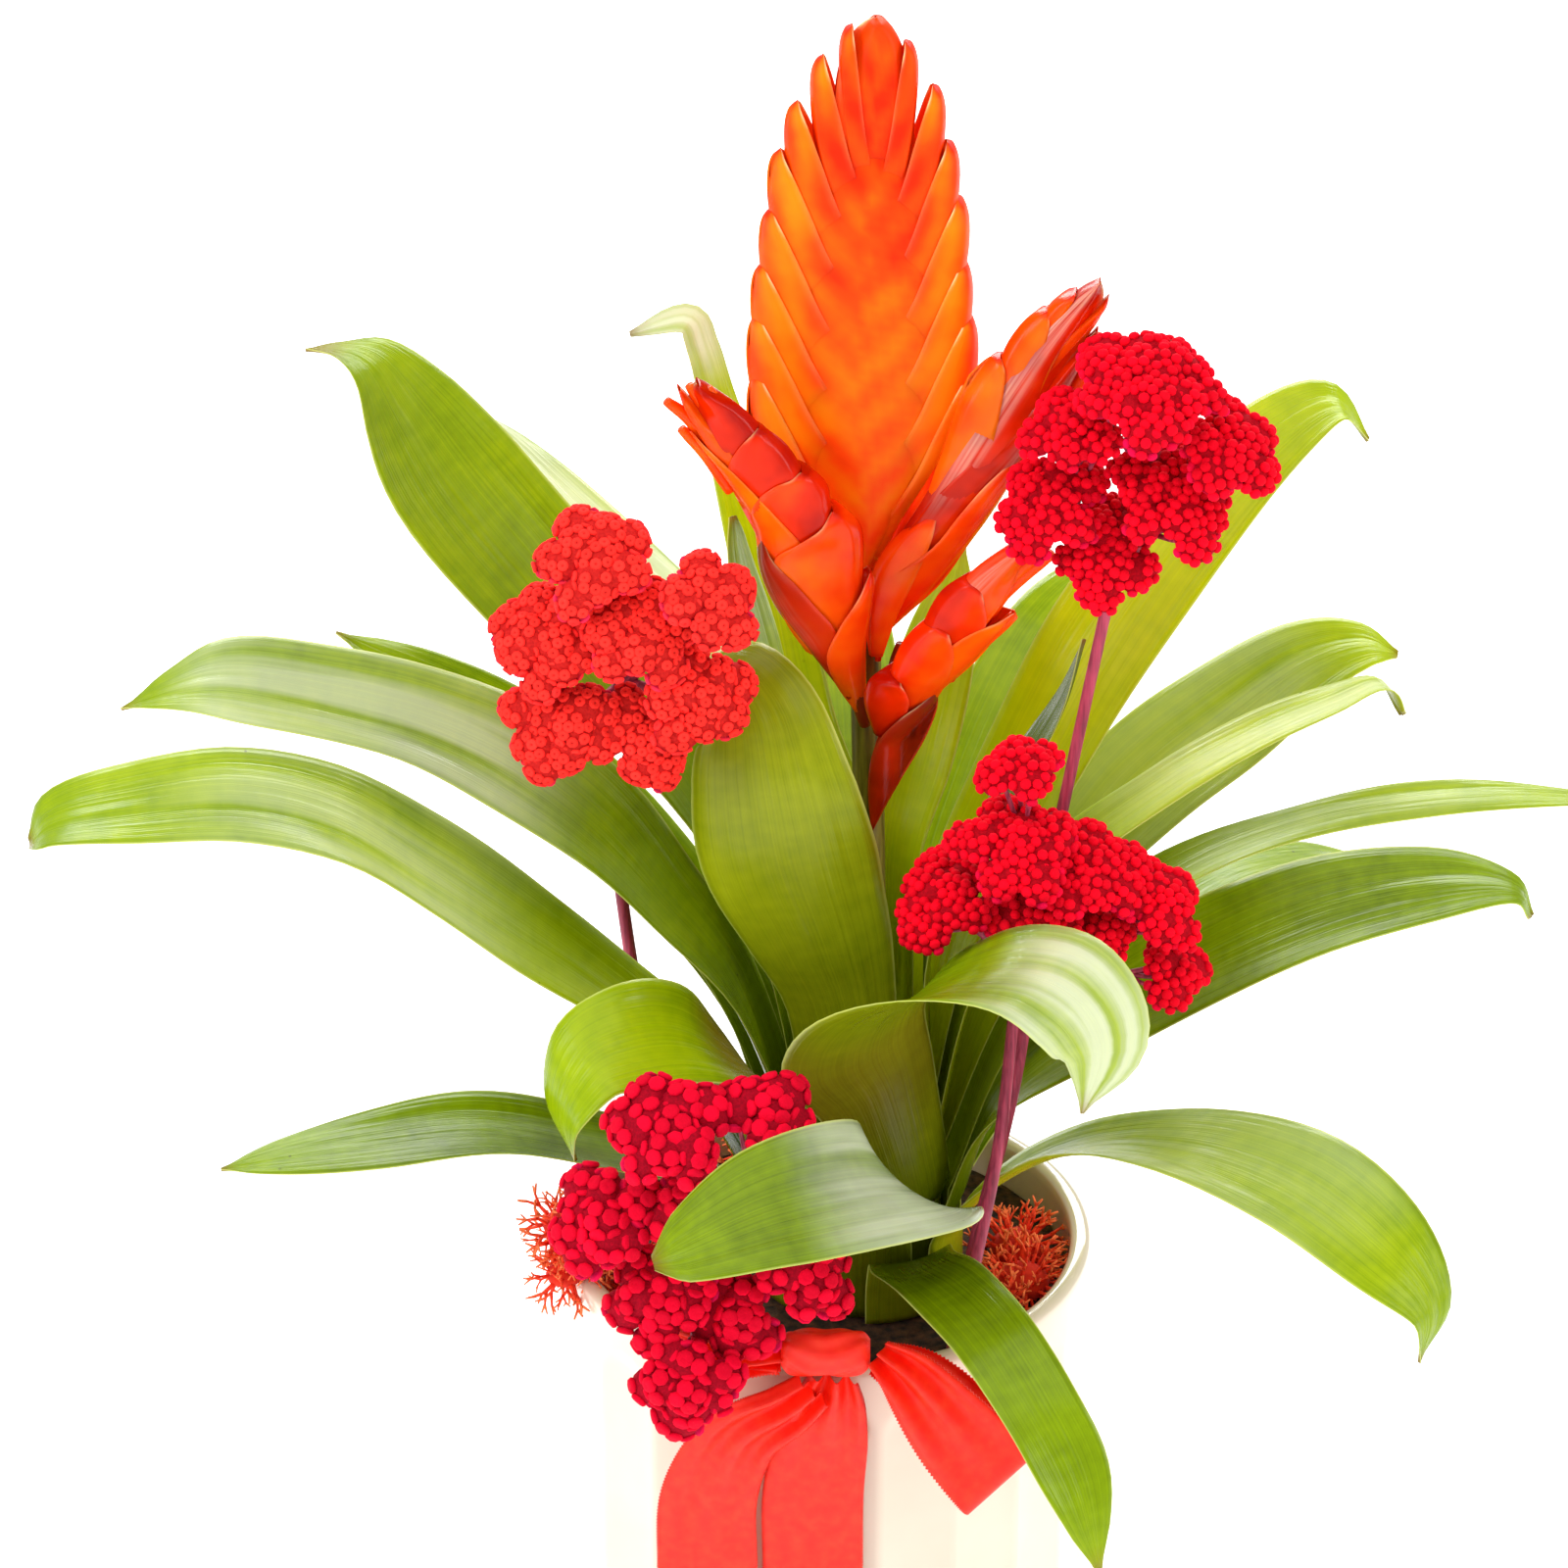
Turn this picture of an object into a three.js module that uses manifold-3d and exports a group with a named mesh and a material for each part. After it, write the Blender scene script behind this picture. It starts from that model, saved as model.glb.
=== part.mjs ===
// A sword-spike bromeliad arranged with dyed yarrow, reindeer moss and a satin bow in a fluted pot.
// Millimetres, +Z up. The origin is the middle of the pot's flat base, and the front faces -Y.
import * as THREE from 'three';
import { mergeVertices } from 'three/addons/utils/BufferGeometryUtils.js';
import Module from 'manifold-3d';

const wasm = await Module();
wasm.setup();

// Pot and soil
const POT_HEIGHT = 140;
const POT_RADIUS = 68;
const POT_WALL = 5.5;
const POT_FLOOR = 6;
const FLUTE_COUNT = 21;
const FLUTE_DEPTH = 1.4;
const FLUTE_PHASE = THREE.MathUtils.degToRad(6.6);
const FLUTE_TOP = 130;
const SOIL_TOP = 127;
const GAP = 0.3;

// Rosette: the leaf sheaths are wrapped in layers round a short stem
const STEM_AXIS = new THREE.Vector3(9, 0, 0);
const STEM_RADIUS = 9;
const STEM_TOP = 186;
const LAYER_OUTERMOST = 27.4;
const LAYER_PITCH = 1.6;
const LEAF_THICKNESS = 0.8;
const LEAF_STRIPS = 4;
const LEAF_CUP = 0.028;
const LEAF_CUP_FADE = 0.004;
const LEAF_CUP_TIP = 0.006;

// Flower spike
const SCAPE_RADIUS = 4;
const SPIKE_FOOT = 324;
const BUD_RADIUS = 3.2;
const STUB_RADIUS = 1.8;

// Yarrow and moss
const YARROW_STEM_RADIUS = 2.4;
const STEM_HOLE_RADIUS = 3.6;
const NECK_GAP = 0.6;
const FLORET_LIFT = 0.42;
const LOBE_SMALL = 12.5;
const LOBE_RISE = 0.36;
const LOBE_CONE = 0.55;
const LOBE_LEAN = 0.012;
const BRANCH_RADIUS = 2.2;
const MOSS_BRANCHES = 6;
const GOLDEN_ANGLE = Math.PI * (3 - Math.sqrt(5));

// Ribbon
const RIBBON_THICKNESS = 0.7;
const KNOT_CENTRE = new THREE.Vector3(-1, -75, 150.5);
const KNOT_SIDES = 14;
const KNOT_PROFILE = [
  [-10.5, 4.4, 2.6],
  [-9, 5.6, 3.6],
  [-4, 6.4, 4.4],
  [0, 6.1, 4.5],
  [4, 6.4, 4.4],
  [9, 5.6, 3.6],
  [10.5, 4.4, 2.6],
];

const group = new THREE.Group();

const finishes = {
  glaze: { color: 0xfbf5ee, roughness: 0.25 },
  soil: { color: 0x3a2618, roughness: 0.95 },
  leaf: { color: 0x6ea018, roughness: 0.4 },
  stem: { color: 0x6b5a1e, roughness: 0.5 },
  bract: { color: 0xff6a10, roughness: 0.4 },
  yarrow: { color: 0xe01030, roughness: 0.85 },
  yarrowStem: { color: 0xa23a58, roughness: 0.7 },
  moss: { color: 0xe8341c, roughness: 0.9 },
  satin: { color: 0xf52a18, roughness: 0.35 },
};

function addPart(name, geometry, finish) {
  geometry.computeVertexNormals();
  const material = new THREE.MeshStandardMaterial({ ...finishes[finish], metalness: 0 });
  const mesh = new THREE.Mesh(geometry, material);
  mesh.name = name;
  group.add(mesh);
}

function vec(x, y, z) {
  return new THREE.Vector3(x, y, z);
}

// A closed mesh from a list of points and triangles of their indices
function meshOf(points, triangles) {
  const geometry = new THREE.BufferGeometry();
  const flat = points.flatMap((p) => [p.x, p.y, p.z]);
  geometry.setAttribute('position', new THREE.Float32BufferAttribute(flat, 3));
  geometry.setIndex(triangles.flat());
  return geometry;
}

// Rings of points joined in order, with a fan to one point at each end
function loft(rings, firstPoint, lastPoint) {
  const count = rings[0].length;
  const points = rings.flat();
  const triangles = [];
  for (let k = 0; k < rings.length - 1; k += 1) {
    for (let i = 0; i < count; i += 1) {
      const next = (i + 1) % count;
      const [a, b] = [k * count + i, k * count + next];
      const [c, d] = [a + count, b + count];
      triangles.push([a, b, d], [a, d, c]);
    }
  }
  const first = points.push(firstPoint) - 1;
  const last = points.push(lastPoint) - 1;
  const top = (rings.length - 1) * count;
  for (let i = 0; i < count; i += 1) {
    const next = (i + 1) % count;
    triangles.push([first, next, i], [last, top + i, top + next]);
  }
  return meshOf(points, triangles);
}

function solidOf(geometry) {
  const bare = geometry.clone();
  bare.deleteAttribute('normal');
  bare.deleteAttribute('uv');
  const merged = mergeVertices(bare, 1e-4);
  return new wasm.Manifold(
    new wasm.Mesh({
      numProp: 3,
      vertProperties: Float32Array.from(merged.attributes.position.array),
      triVerts: Uint32Array.from(merged.index.array),
    }),
  );
}

function geometryOf(solid) {
  const mesh = solid.getMesh();
  const geometry = new THREE.BufferGeometry();
  geometry.setAttribute('position', new THREE.BufferAttribute(mesh.vertProperties, 3));
  geometry.setIndex(new THREE.BufferAttribute(mesh.triVerts, 1));
  return geometry;
}

// Joins closed meshes and keeps the largest body, which drops loose scraps and fills sealed hollows
function fuse(geometries) {
  const joined = geometries.map(solidOf).reduce((whole, piece) => whole.add(piece));
  const bodies = joined.decompose();
  bodies.sort((a, b) => b.volume() - a.volume());
  return geometryOf(bodies[0]);
}

// A small repeatable random draw
function seeded(seed) {
  let state = seed;
  return () => {
    state = (state * 1664525 + 1013904223) % 4294967296;
    return state / 4294967296;
  };
}

function turnedTo(direction) {
  return new THREE.Quaternion().setFromUnitVectors(vec(0, 0, 1), direction.clone().normalize());
}

// A round tube of even thickness along a smooth curve
function tube(points, radius, sides, steps) {
  const shape = new THREE.Shape();
  for (let i = 0; i < sides; i += 1) {
    const angle = (2 * Math.PI * i) / sides;
    const corner = [radius * Math.cos(angle), radius * Math.sin(angle)];
    if (i === 0) shape.moveTo(...corner);
    else shape.lineTo(...corner);
  }
  shape.closePath();
  const extrudePath = new THREE.CatmullRomCurve3(points.map((p) => vec(...p)));
  return new THREE.ExtrudeGeometry(shape, { steps, extrudePath, bevelEnabled: false });
}

// A straight tapering rod with a point at its far end
function spine(from, to, radius, sides) {
  const turn = turnedTo(to.clone().sub(from));
  const ring = (centre, r) => {
    const corners = [];
    for (let i = 0; i < sides; i += 1) {
      const angle = (2 * Math.PI * i) / sides;
      corners.push(vec(r * Math.cos(angle), r * Math.sin(angle), 0).applyQuaternion(turn).add(centre));
    }
    return corners;
  };
  const shoulder = from.clone().lerp(to, 0.7);
  return loft([ring(from, radius), ring(shoulder, radius * 0.75)], from, to);
}

// Frames carried along a curve without twist, then rolled by a stated angle at each station
function framesAlong(curve, rollAt, side, stations) {
  const frames = [];
  for (let k = 0; k <= stations; k += 1) {
    const t = k / stations;
    const tangent = curve.getTangent(t).normalize();
    side.addScaledVector(tangent, -side.dot(tangent)).normalize();
    const rolled = side.clone().applyAxisAngle(tangent, rollAt(t));
    frames.push({ t, centre: curve.getPoint(t), side: rolled, normal: tangent.clone().cross(rolled) });
  }
  return frames;
}

// A closed thin blade: each station is an arc of stated width and bend, with a face on each side
function blade(frames, widthAt, bendAt, strips, thickness) {
  const points = [];
  for (const { t, centre, side, normal } of frames) {
    const width = widthAt(t);
    const bend = bendAt(t);
    for (const lift of [thickness / 2, -thickness / 2]) {
      for (let j = 0; j <= strips; j += 1) {
        const along = (j / strips - 0.5) * width;
        const angle = along * bend;
        const across = Math.abs(bend) < 1e-6 ? along : Math.sin(angle) / bend;
        const rise = Math.abs(bend) < 1e-6 ? 0 : (1 - Math.cos(angle)) / bend;
        points.push(
          centre
            .clone()
            .addScaledVector(side, across - lift * Math.sin(angle))
            .addScaledVector(normal, rise + lift * Math.cos(angle)),
        );
      }
    }
  }
  const row = strips + 1;
  const upper = (k, j) => k * 2 * row + j;
  const lower = (k, j) => upper(k, j) + row;
  const triangles = [];
  for (let k = 0; k < frames.length - 1; k += 1) {
    for (let j = 0; j < strips; j += 1) {
      triangles.push([upper(k, j), upper(k + 1, j), upper(k + 1, j + 1)]);
      triangles.push([upper(k, j), upper(k + 1, j + 1), upper(k, j + 1)]);
      triangles.push([lower(k, j), lower(k + 1, j + 1), lower(k + 1, j)]);
      triangles.push([lower(k, j), lower(k, j + 1), lower(k + 1, j + 1)]);
    }
    triangles.push([upper(k, 0), lower(k, 0), lower(k + 1, 0)]);
    triangles.push([upper(k, 0), lower(k + 1, 0), upper(k + 1, 0)]);
    triangles.push([upper(k, strips), lower(k + 1, strips), lower(k, strips)]);
    triangles.push([upper(k, strips), upper(k + 1, strips), lower(k + 1, strips)]);
  }
  const end = frames.length - 1;
  for (let j = 0; j < strips; j += 1) {
    triangles.push([upper(0, j), upper(0, j + 1), lower(0, j + 1)]);
    triangles.push([upper(0, j), lower(0, j + 1), lower(0, j)]);
    triangles.push([upper(end, j), lower(end, j + 1), upper(end, j + 1)]);
    triangles.push([upper(end, j), lower(end, j), lower(end, j + 1)]);
  }
  return meshOf(points, triangles);
}

// Values given at evenly spaced stations, read smoothly in between
function smoothList(values) {
  const curve = new THREE.CatmullRomCurve3(values.map((v) => vec(v, 0, 0)), false, 'catmullrom');
  return (t) => curve.getPoint(t).x;
}

// Pot: a fluted wall with a smooth rim band, open at the top
function potGeometry() {
  const samples = FLUTE_COUNT * 3;
  const innerRadius = POT_RADIUS - POT_WALL;
  const ring = (radius, z, fluteShare) => {
    const corners = [];
    for (let i = 0; i < samples; i += 1) {
      const turn = (2 * Math.PI * i) / samples;
      const angle = turn + FLUTE_PHASE;
      const hollow = 0.5 - 0.5 * Math.cos(FLUTE_COUNT * turn);
      const r = radius - fluteShare * FLUTE_DEPTH * hollow;
      corners.push(vec(r * Math.cos(angle), r * Math.sin(angle), z));
    }
    return corners;
  };
  const rings = [
    ring(POT_RADIUS - 4, 0, 0),
    ring(POT_RADIUS, 6, 1),
    ring(POT_RADIUS, FLUTE_TOP - 5, 1),
    ring(POT_RADIUS, FLUTE_TOP + 1, 0),
    ring(POT_RADIUS, POT_HEIGHT - 2.5, 0),
    ring(POT_RADIUS - 2, POT_HEIGHT, 0),
    ring(innerRadius, POT_HEIGHT - 2, 0),
    ring(innerRadius, POT_FLOOR, 0),
  ];
  return loft(rings, vec(0, 0, 0), vec(0, 0, POT_FLOOR));
}

// Soil: fills the pot to just under the rim, with a plain hole for each yarrow stem
function soilGeometry(stemFeet) {
  const radius = POT_RADIUS - POT_WALL - GAP;
  const sides = 36;
  const disc = new THREE.CylinderGeometry(radius, radius, SOIL_TOP - POT_FLOOR - GAP, sides);
  disc.rotateX(Math.PI / 2);
  disc.translate(0, 0, (SOIL_TOP + POT_FLOOR + GAP) / 2);
  let solid = solidOf(disc);
  for (const [foot, head] of stemFeet) {
    const lean = vec(...head).sub(vec(...foot)).normalize();
    const start = vec(...foot).addScaledVector(lean, -GAP);
    const hole = new THREE.CylinderGeometry(STEM_HOLE_RADIUS, STEM_HOLE_RADIUS, 60, 10);
    hole.rotateX(Math.PI / 2);
    hole.translate(0, 0, 30);
    hole.applyQuaternion(turnedTo(lean));
    hole.translate(start.x, start.y, start.z);
    solid = solid.subtract(solidOf(hole));
  }
  return geometryOf(solid);
}

// Short stem in the middle of the rosette
function coreGeometry() {
  const profile = [
    [0, SOIL_TOP + GAP],
    [STEM_RADIUS, SOIL_TOP + GAP],
    [STEM_RADIUS, STEM_TOP - 20],
    [SCAPE_RADIUS + 1, STEM_TOP],
    [0, STEM_TOP],
  ];
  const core = new THREE.LatheGeometry(profile.map(([r, z]) => new THREE.Vector2(r, z)), 12);
  core.rotateX(Math.PI / 2);
  core.translate(STEM_AXIS.x, STEM_AXIS.y, 0);
  return core;
}

// Each leaf: the way its sheath faces in degrees (0 is +X, 90 is the back), its layer counted from the
// outside, the width of its sheath and the height where it leaves the stem, then its run in the open as
// points with the blade's width and roll in degrees
const leaves = {
  left_low: {
    facing: 205, layer: 0, sheath: 22, leaves: 139,
    run: [[-32, -20, 168, 32, 0], [-60, -34, 184, 33, -2], [-86, -44, 195, 30, -4],
      [-112, -52, 197, 26, -4], [-134, -57, 196, 17, -2], [-149, -60, 194, 3, 0]],
  },
  front_right_hanging: {
    facing: 294, layer: 0, sheath: 22, leaves: 138,
    run: [[22, -48, 157, 22, 0], [29, -74, 168, 22, 4], [39, -95, 169, 21, 8], [50, -110, 158, 20, 8],
      [59, -119, 142, 18, 4], [65, -125, 120, 3, 0]],
  },
  back_low: {
    facing: 85, layer: 0, sheath: 24, leaves: 139,
    run: [[12, 48, 166, 32, 0], [14, 82, 184, 34, 0], [16, 116, 192, 30, 0], [18, 146, 186, 20, 0],
      [19, 164, 176, 3, 0]],
  },
  right_low: {
    facing: 334, layer: 1, sheath: 22, leaves: 142,
    run: [[46, -19, 167, 25, -4], [64, -36, 186, 28, -12], [88, -56, 198, 33, -6],
      [114, -72, 197, 34, 4], [134, -84, 186, 28, 10], [145, -90, 173, 16, 6], [143, -92, 159, 3, 0]],
  },
  left_under: {
    facing: 172, layer: 1, sheath: 16, leaves: 144,
    run: [[-36, 4, 184, 18, 0], [-58, 4, 212, 18, 0], [-78, 3, 231, 14, 0], [-97, 2, 243, 3, 0]],
  },
  back_right_low: {
    facing: 35, layer: 1, sheath: 22, leaves: 143,
    run: [[46, 26, 172, 30, 0], [76, 50, 192, 32, 0], [104, 72, 202, 30, 0], [130, 92, 198, 20, 0],
      [146, 104, 190, 3, 0]],
  },
  front_left_over: {
    facing: 272, layer: 2, sheath: 24, leaves: 146,
    run: [[16, -48, 170, 30, -4], [20, -72, 192, 34, -20], [17, -91, 208, 38, -46],
      [3, -104, 215, 37, -58], [-14, -110, 214, 34, -60], [-29, -114, 209, 26, -56],
      [-42, -115, 202, 14, -50]],
  },
  right_big: {
    facing: 350, layer: 2, sheath: 26, leaves: 147,
    run: [[44, -4, 180, 32, 6], [68, -10, 206, 37, 16], [94, -15, 227, 38, 20], [122, -18, 243, 36, 20],
      [150, -20, 251, 27, 16], [168, -21, 251, 12, 8], [173, -21, 243, 3, 0]],
  },
  back_left_high: {
    facing: 134, layer: 2, sheath: 22, leaves: 147,
    run: [[-19, 31, 188, 22, 0], [-48, 50, 222, 28, 0], [-76, 58, 248, 26, 0], [-102, 62, 266, 18, 0],
      [-126, 64, 279, 3, 0]],
  },
  left_big: {
    facing: 192, layer: 2, sheath: 24, leaves: 148,
    run: [[-30, -10, 192, 30, -6], [-54, -15, 217, 34, -14], [-76, -19, 237, 36, -18],
      [-98, -24, 257, 37, -18], [-120, -29, 275, 37, -16], [-144, -34, 284, 35, -14],
      [-170, -38, 283, 30, -12], [-187, -40, 280, 25, -6], [-193, -41, 274, 15, 0]],
  },
  front_left_curled: {
    facing: 221, layer: 3, sheath: 24, leaves: 152,
    run: [[-14, -26, 194, 26, -4], [-27, -39, 214, 32, -20], [-38, -47, 224, 31, -34],
      [-49, -54, 227, 29, -38], [-59, -59, 224, 26, -26], [-65, -62, 211, 19, -8],
      [-62, -62, 198, 3, 0]],
  },
  right_long: {
    facing: 8, layer: 3, sheath: 20, leaves: 152,
    run: [[46, 6, 196, 22, 2], [70, 10, 224, 20, 4], [96, 14, 241, 18, 4], [124, 18, 250, 16, 4],
      [152, 20, 254, 14, 4], [180, 20, 255, 12, 2], [212, 20, 252, 3, 0]],
  },
  back_mid: {
    facing: 94, layer: 3, sheath: 22, leaves: 150,
    run: [[6, 42, 198, 26, 0], [4, 74, 234, 32, 0], [2, 104, 255, 32, 0], [0, 132, 260, 22, 0],
      [-1, 150, 254, 3, 0]],
  },
  front_right_curled: {
    facing: 302, layer: 4, sheath: 28, leaves: 154,
    run: [[14, -30, 196, 34, 0], [9, -44, 217, 44, 0], [15, -57, 237, 44, 2], [31, -67, 251, 40, 10],
      [47, -73, 256, 36, 26], [59, -78, 252, 31, 48], [65, -81, 240, 24, 58], [60, -83, 224, 3, 60]],
  },
  back_right_mid: {
    facing: 60, layer: 4, sheath: 24, leaves: 155,
    run: [[29, 37, 206, 30, 0], [44, 65, 240, 34, 0], [59, 90, 263, 30, 0], [73, 113, 270, 20, 0],
      [84, 128, 265, 3, 0]],
  },
  front_upright: {
    facing: 258, layer: 5, sheath: 25, leaves: 160,
    run: [[3, -22, 212, 28, 0], [-3, -27, 236, 39, 0], [-11, -29, 260, 48, 0], [-15, -28, 282, 43, 0],
      [-18, -22, 298, 33, 0], [-25, -13, 304, 24, 0], [-33, -6, 297, 13, 0], [-38, -4, 287, 3, 0]],
  },
  right_broad: {
    facing: 24, layer: 5, sheath: 22, leaves: 160,
    run: [[42, 16, 206, 27, 2], [62, 30, 229, 32, 10], [82, 42, 247, 36, 18], [102, 51, 260, 36, 20],
      [121, 58, 272, 30, 14], [136, 60, 277, 19, 4], [146, 61, 274, 3, 0]],
  },
  left_slim: {
    facing: 152, layer: 5, sheath: 18, leaves: 160,
    run: [[-26, 22, 205, 19, 0], [-48, 36, 226, 20, 0], [-66, 43, 245, 16, 0], [-82, 48, 260, 3, 0]],
  },
  left_arching: {
    facing: 178, layer: 6, sheath: 23, leaves: 164,
    run: [[-24, 0, 212, 28, -4], [-42, -1, 238, 32, -12], [-58, -2, 259, 34, -20],
      [-78, -3, 277, 35, -22], [-100, -4, 289, 32, -20], [-124, -6, 297, 29, -18],
      [-146, -8, 302, 27, -12], [-160, -9, 300, 16, -6], [-173, -10, 295, 3, 0]],
  },
  right_folded: {
    facing: 6, layer: 6, sheath: 18, leaves: 166,
    run: [[38, 3, 217, 22, 0], [60, 9, 243, 24, 4], [84, 14, 261, 22, 2], [106, 18, 273, 20, 0],
      [126, 21, 281, 18, 0], [138, 23, 285, 12, 0], [144, 24, 276, 3, 0]],
  },
  left_tall: {
    facing: 150, layer: 7, sheath: 22, leaves: 168,
    run: [[-14, 16, 218, 26, 0], [-29, 30, 246, 31, -12], [-50, 42, 275, 37, -24],
      [-73, 49, 300, 41, -30], [-93, 55, 324, 41, -28], [-105, 61, 341, 35, -18],
      [-114, 64, 354, 23, -8], [-123, 66, 357, 11, 0], [-131, 66, 357, 3, 0]],
  },
  right_tall: {
    facing: 32, layer: 7, sheath: 22, leaves: 170,
    run: [[31, 15, 217, 27, 0], [48, 26, 250, 33, 10], [66, 38, 283, 33, 18], [84, 48, 308, 31, 20],
      [101, 57, 326, 28, 16], [116, 63, 338, 24, 10], [128, 66, 342, 16, 4], [136, 66, 332, 3, 0]],
  },
  left_narrow: {
    facing: 126, layer: 8, sheath: 14, leaves: 172,
    run: [[-3, 15, 226, 15, 0], [-7, 39, 254, 15, 0], [-33, 71, 278, 19, 0], [-64, 95, 298, 18, 0],
      [-83, 110, 312, 11, 0], [-94, 116, 318, 3, 0]],
  },
  right_dark: {
    facing: 0, layer: 8, sheath: 12, leaves: 174,
    run: [[26, -1, 226, 14, 0], [38, 2, 250, 19, 6], [49, 6, 272, 20, 8], [58, 10, 288, 15, 4],
      [63, 12, 303, 3, 0]],
  },
  back_left_tall: {
    facing: 112, layer: 9, sheath: 12, leaves: 174,
    run: [[4, 15, 240, 18, 0], [-8, 35, 268, 20, -4], [-15, 50, 298, 18, -8], [-22, 62, 323, 14, -8],
      [-28, 71, 341, 10, -6], [-32, 75, 354, 9, 0], [-36, 76, 361, 8, 0], [-50, 78, 356, 3, 0]],
  },
  back_right_upright: {
    facing: 56, layer: 9, sheath: 11, leaves: 176,
    run: [[16, 17, 236, 18, 0], [22, 27, 264, 24, 0], [29, 36, 292, 21, 0], [34, 43, 315, 3, 0]],
  },
  left_dark: {
    facing: 160, layer: 10, sheath: 11, leaves: 178,
    run: [[0, 6, 238, 14, 0], [-9, 15, 266, 20, 0], [-17, 23, 295, 21, 0], [-22, 27, 315, 13, 0],
      [-24, 28, 329, 3, 0]],
  },
};

function leafGeometry({ facing, layer, sheath, leaves: leavesAt, run }) {
  const radius = LAYER_OUTERMOST - LAYER_PITCH * layer;
  const angle = THREE.MathUtils.degToRad(facing);
  const outward = vec(Math.cos(angle), Math.sin(angle), 0);
  const onLayer = (extra, z) => STEM_AXIS.clone().addScaledVector(outward, radius + extra).setZ(z);
  const centres = [onLayer(0, SOIL_TOP + 1), onLayer(0, leavesAt), onLayer(2.2, leavesAt + 8)];
  const widths = [sheath, sheath, sheath];
  const rolls = [0, 0, 0];
  const bends = [1 / radius, 1 / radius, 1 / radius];
  for (const [x, y, z, width, roll] of run) {
    centres.push(vec(x, y, z));
    widths.push(width);
    rolls.push(THREE.MathUtils.degToRad(roll));
    bends.push(Math.max(LEAF_CUP - LEAF_CUP_FADE * (centres.length - 4), LEAF_CUP_TIP));
  }
  const curve = new THREE.CatmullRomCurve3(centres, false, 'catmullrom');
  const side = vec(-Math.sin(angle), Math.cos(angle), 0);
  const frames = framesAlong(curve, smoothList(rolls), side, centres.length - 1);
  return blade(frames, smoothList(widths), smoothList(bends), LEAF_STRIPS, LEAF_THICKNESS);
}

// Bract: a boat-shaped scale of the flower spike, thickest on its inner side and sharp at its keel
function bract({ foot, tip, bulge, width, thick, facing }) {
  const along = tip.clone().sub(foot);
  const across = facing.clone().cross(along).normalize();
  const places = [0.05, 0.35, 0.7, 0.92];
  const outline = [0.5, 1, 0.84, 0.36];
  const depth = [0.6, 1, 0.85, 0.45];
  const section = [[0.5, 0], [0.26, 0.7], [-0.12, 1], [-0.5, 0], [-0.12, -1], [0.26, -0.7]];
  const centreAt = (t) =>
    foot.clone().addScaledVector(along, t).addScaledVector(across, bulge * Math.sin(Math.PI * t));
  const rings = places.map((t, k) =>
    section.map(([u, v]) =>
      centreAt(t)
        .addScaledVector(across, u * width * outline[k])
        .addScaledVector(facing, v * thick * depth[k]),
    ),
  );
  return loft(rings, foot, tip);
}

// Main spike: two ranks of overlapping bracts on one flat axis, each as the x and z of its tip and its width
const mainBracts = {
  left: [[-14, 376, 15], [-17.5, 390, 19], [-16.5, 404, 20], [-14.5, 418, 20], [-12, 432, 19],
    [-9.5, 447, 18], [-4, 459, 16]],
  right: [[30, 381, 13], [31.5, 395, 18], [30.5, 410, 19], [29, 426, 19], [26, 440, 18], [23, 453, 16],
    [17, 464, 14]],
};
const BRACT_LENGTH = 47;
const BRACT_BULGE = 3.4;
const BRACT_THICK_FOOT = 7.2;
const BRACT_THICK_TOP = 4;

function mainSpikeGeometry() {
  const front = vec(0, -1, 0);
  const axisAt = (z) => vec(8 + (z - SPIKE_FOOT) * 0.02, 0, z);
  const pieces = [
    bract({ foot: axisAt(SPIKE_FOOT), tip: axisAt(446), bulge: 0, width: 24, thick: 5, facing: front }),
    bract({ foot: axisAt(428), tip: axisAt(471), bulge: 0, width: 15, thick: 3.6, facing: front }),
  ];
  for (const [rank, hand] of [['left', -1], ['right', 1]]) {
    mainBracts[rank].forEach(([x, z, width], k) => {
      const share = k / mainBracts[rank].length;
      pieces.push(
        bract({
          foot: axisAt(z - BRACT_LENGTH + 6 * share),
          tip: vec(x, 0, z),
          bulge: BRACT_BULGE,
          width,
          thick: BRACT_THICK_FOOT + (BRACT_THICK_TOP - BRACT_THICK_FOOT) * share,
          facing: front.clone().multiplyScalar(-hand),
        }),
      );
    });
  }
  return fuse(pieces);
}

// Side spike: a few large bracts in two ranks, each as its start and end along the spike, its reach to the
// side, its width and its depth, on a short stub beside the stalk, with finger-like buds past them
// and on one of them a narrow bract that clasps the stalk
function sideSpikeGeometry({ foot, head, facing, stub, scales, buds, clasp }) {
  const from = vec(...foot);
  const to = vec(...head);
  const face = vec(...facing);
  const along = to.clone().sub(from);
  face.addScaledVector(along, -face.dot(along) / along.lengthSq()).normalize();
  const across = face.clone().cross(along).normalize();
  const pieces = scales.map(([start, end, reach, width, thick]) =>
    bract({
      foot: from.clone().addScaledVector(along, start),
      tip: from.clone().addScaledVector(along, end).addScaledVector(across, reach),
      bulge: Math.abs(reach) * 0.15,
      width,
      thick,
      facing: face.clone().multiplyScalar(reach < 0 ? -1 : 1),
    }),
  );
  pieces.push(spine(vec(...stub), from.clone().addScaledVector(along, 0.2), STUB_RADIUS, 6));
  for (const [start, tip] of buds) {
    pieces.push(spine(from.clone().addScaledVector(along, start), vec(...tip), BUD_RADIUS, 5));
  }
  if (clasp) {
    const ends = { foot: vec(...clasp.foot), tip: vec(...clasp.tip) };
    pieces.push(bract({ ...clasp, ...ends, bulge: 0, facing: face }));
  }
  return fuse(pieces);
}

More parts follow.
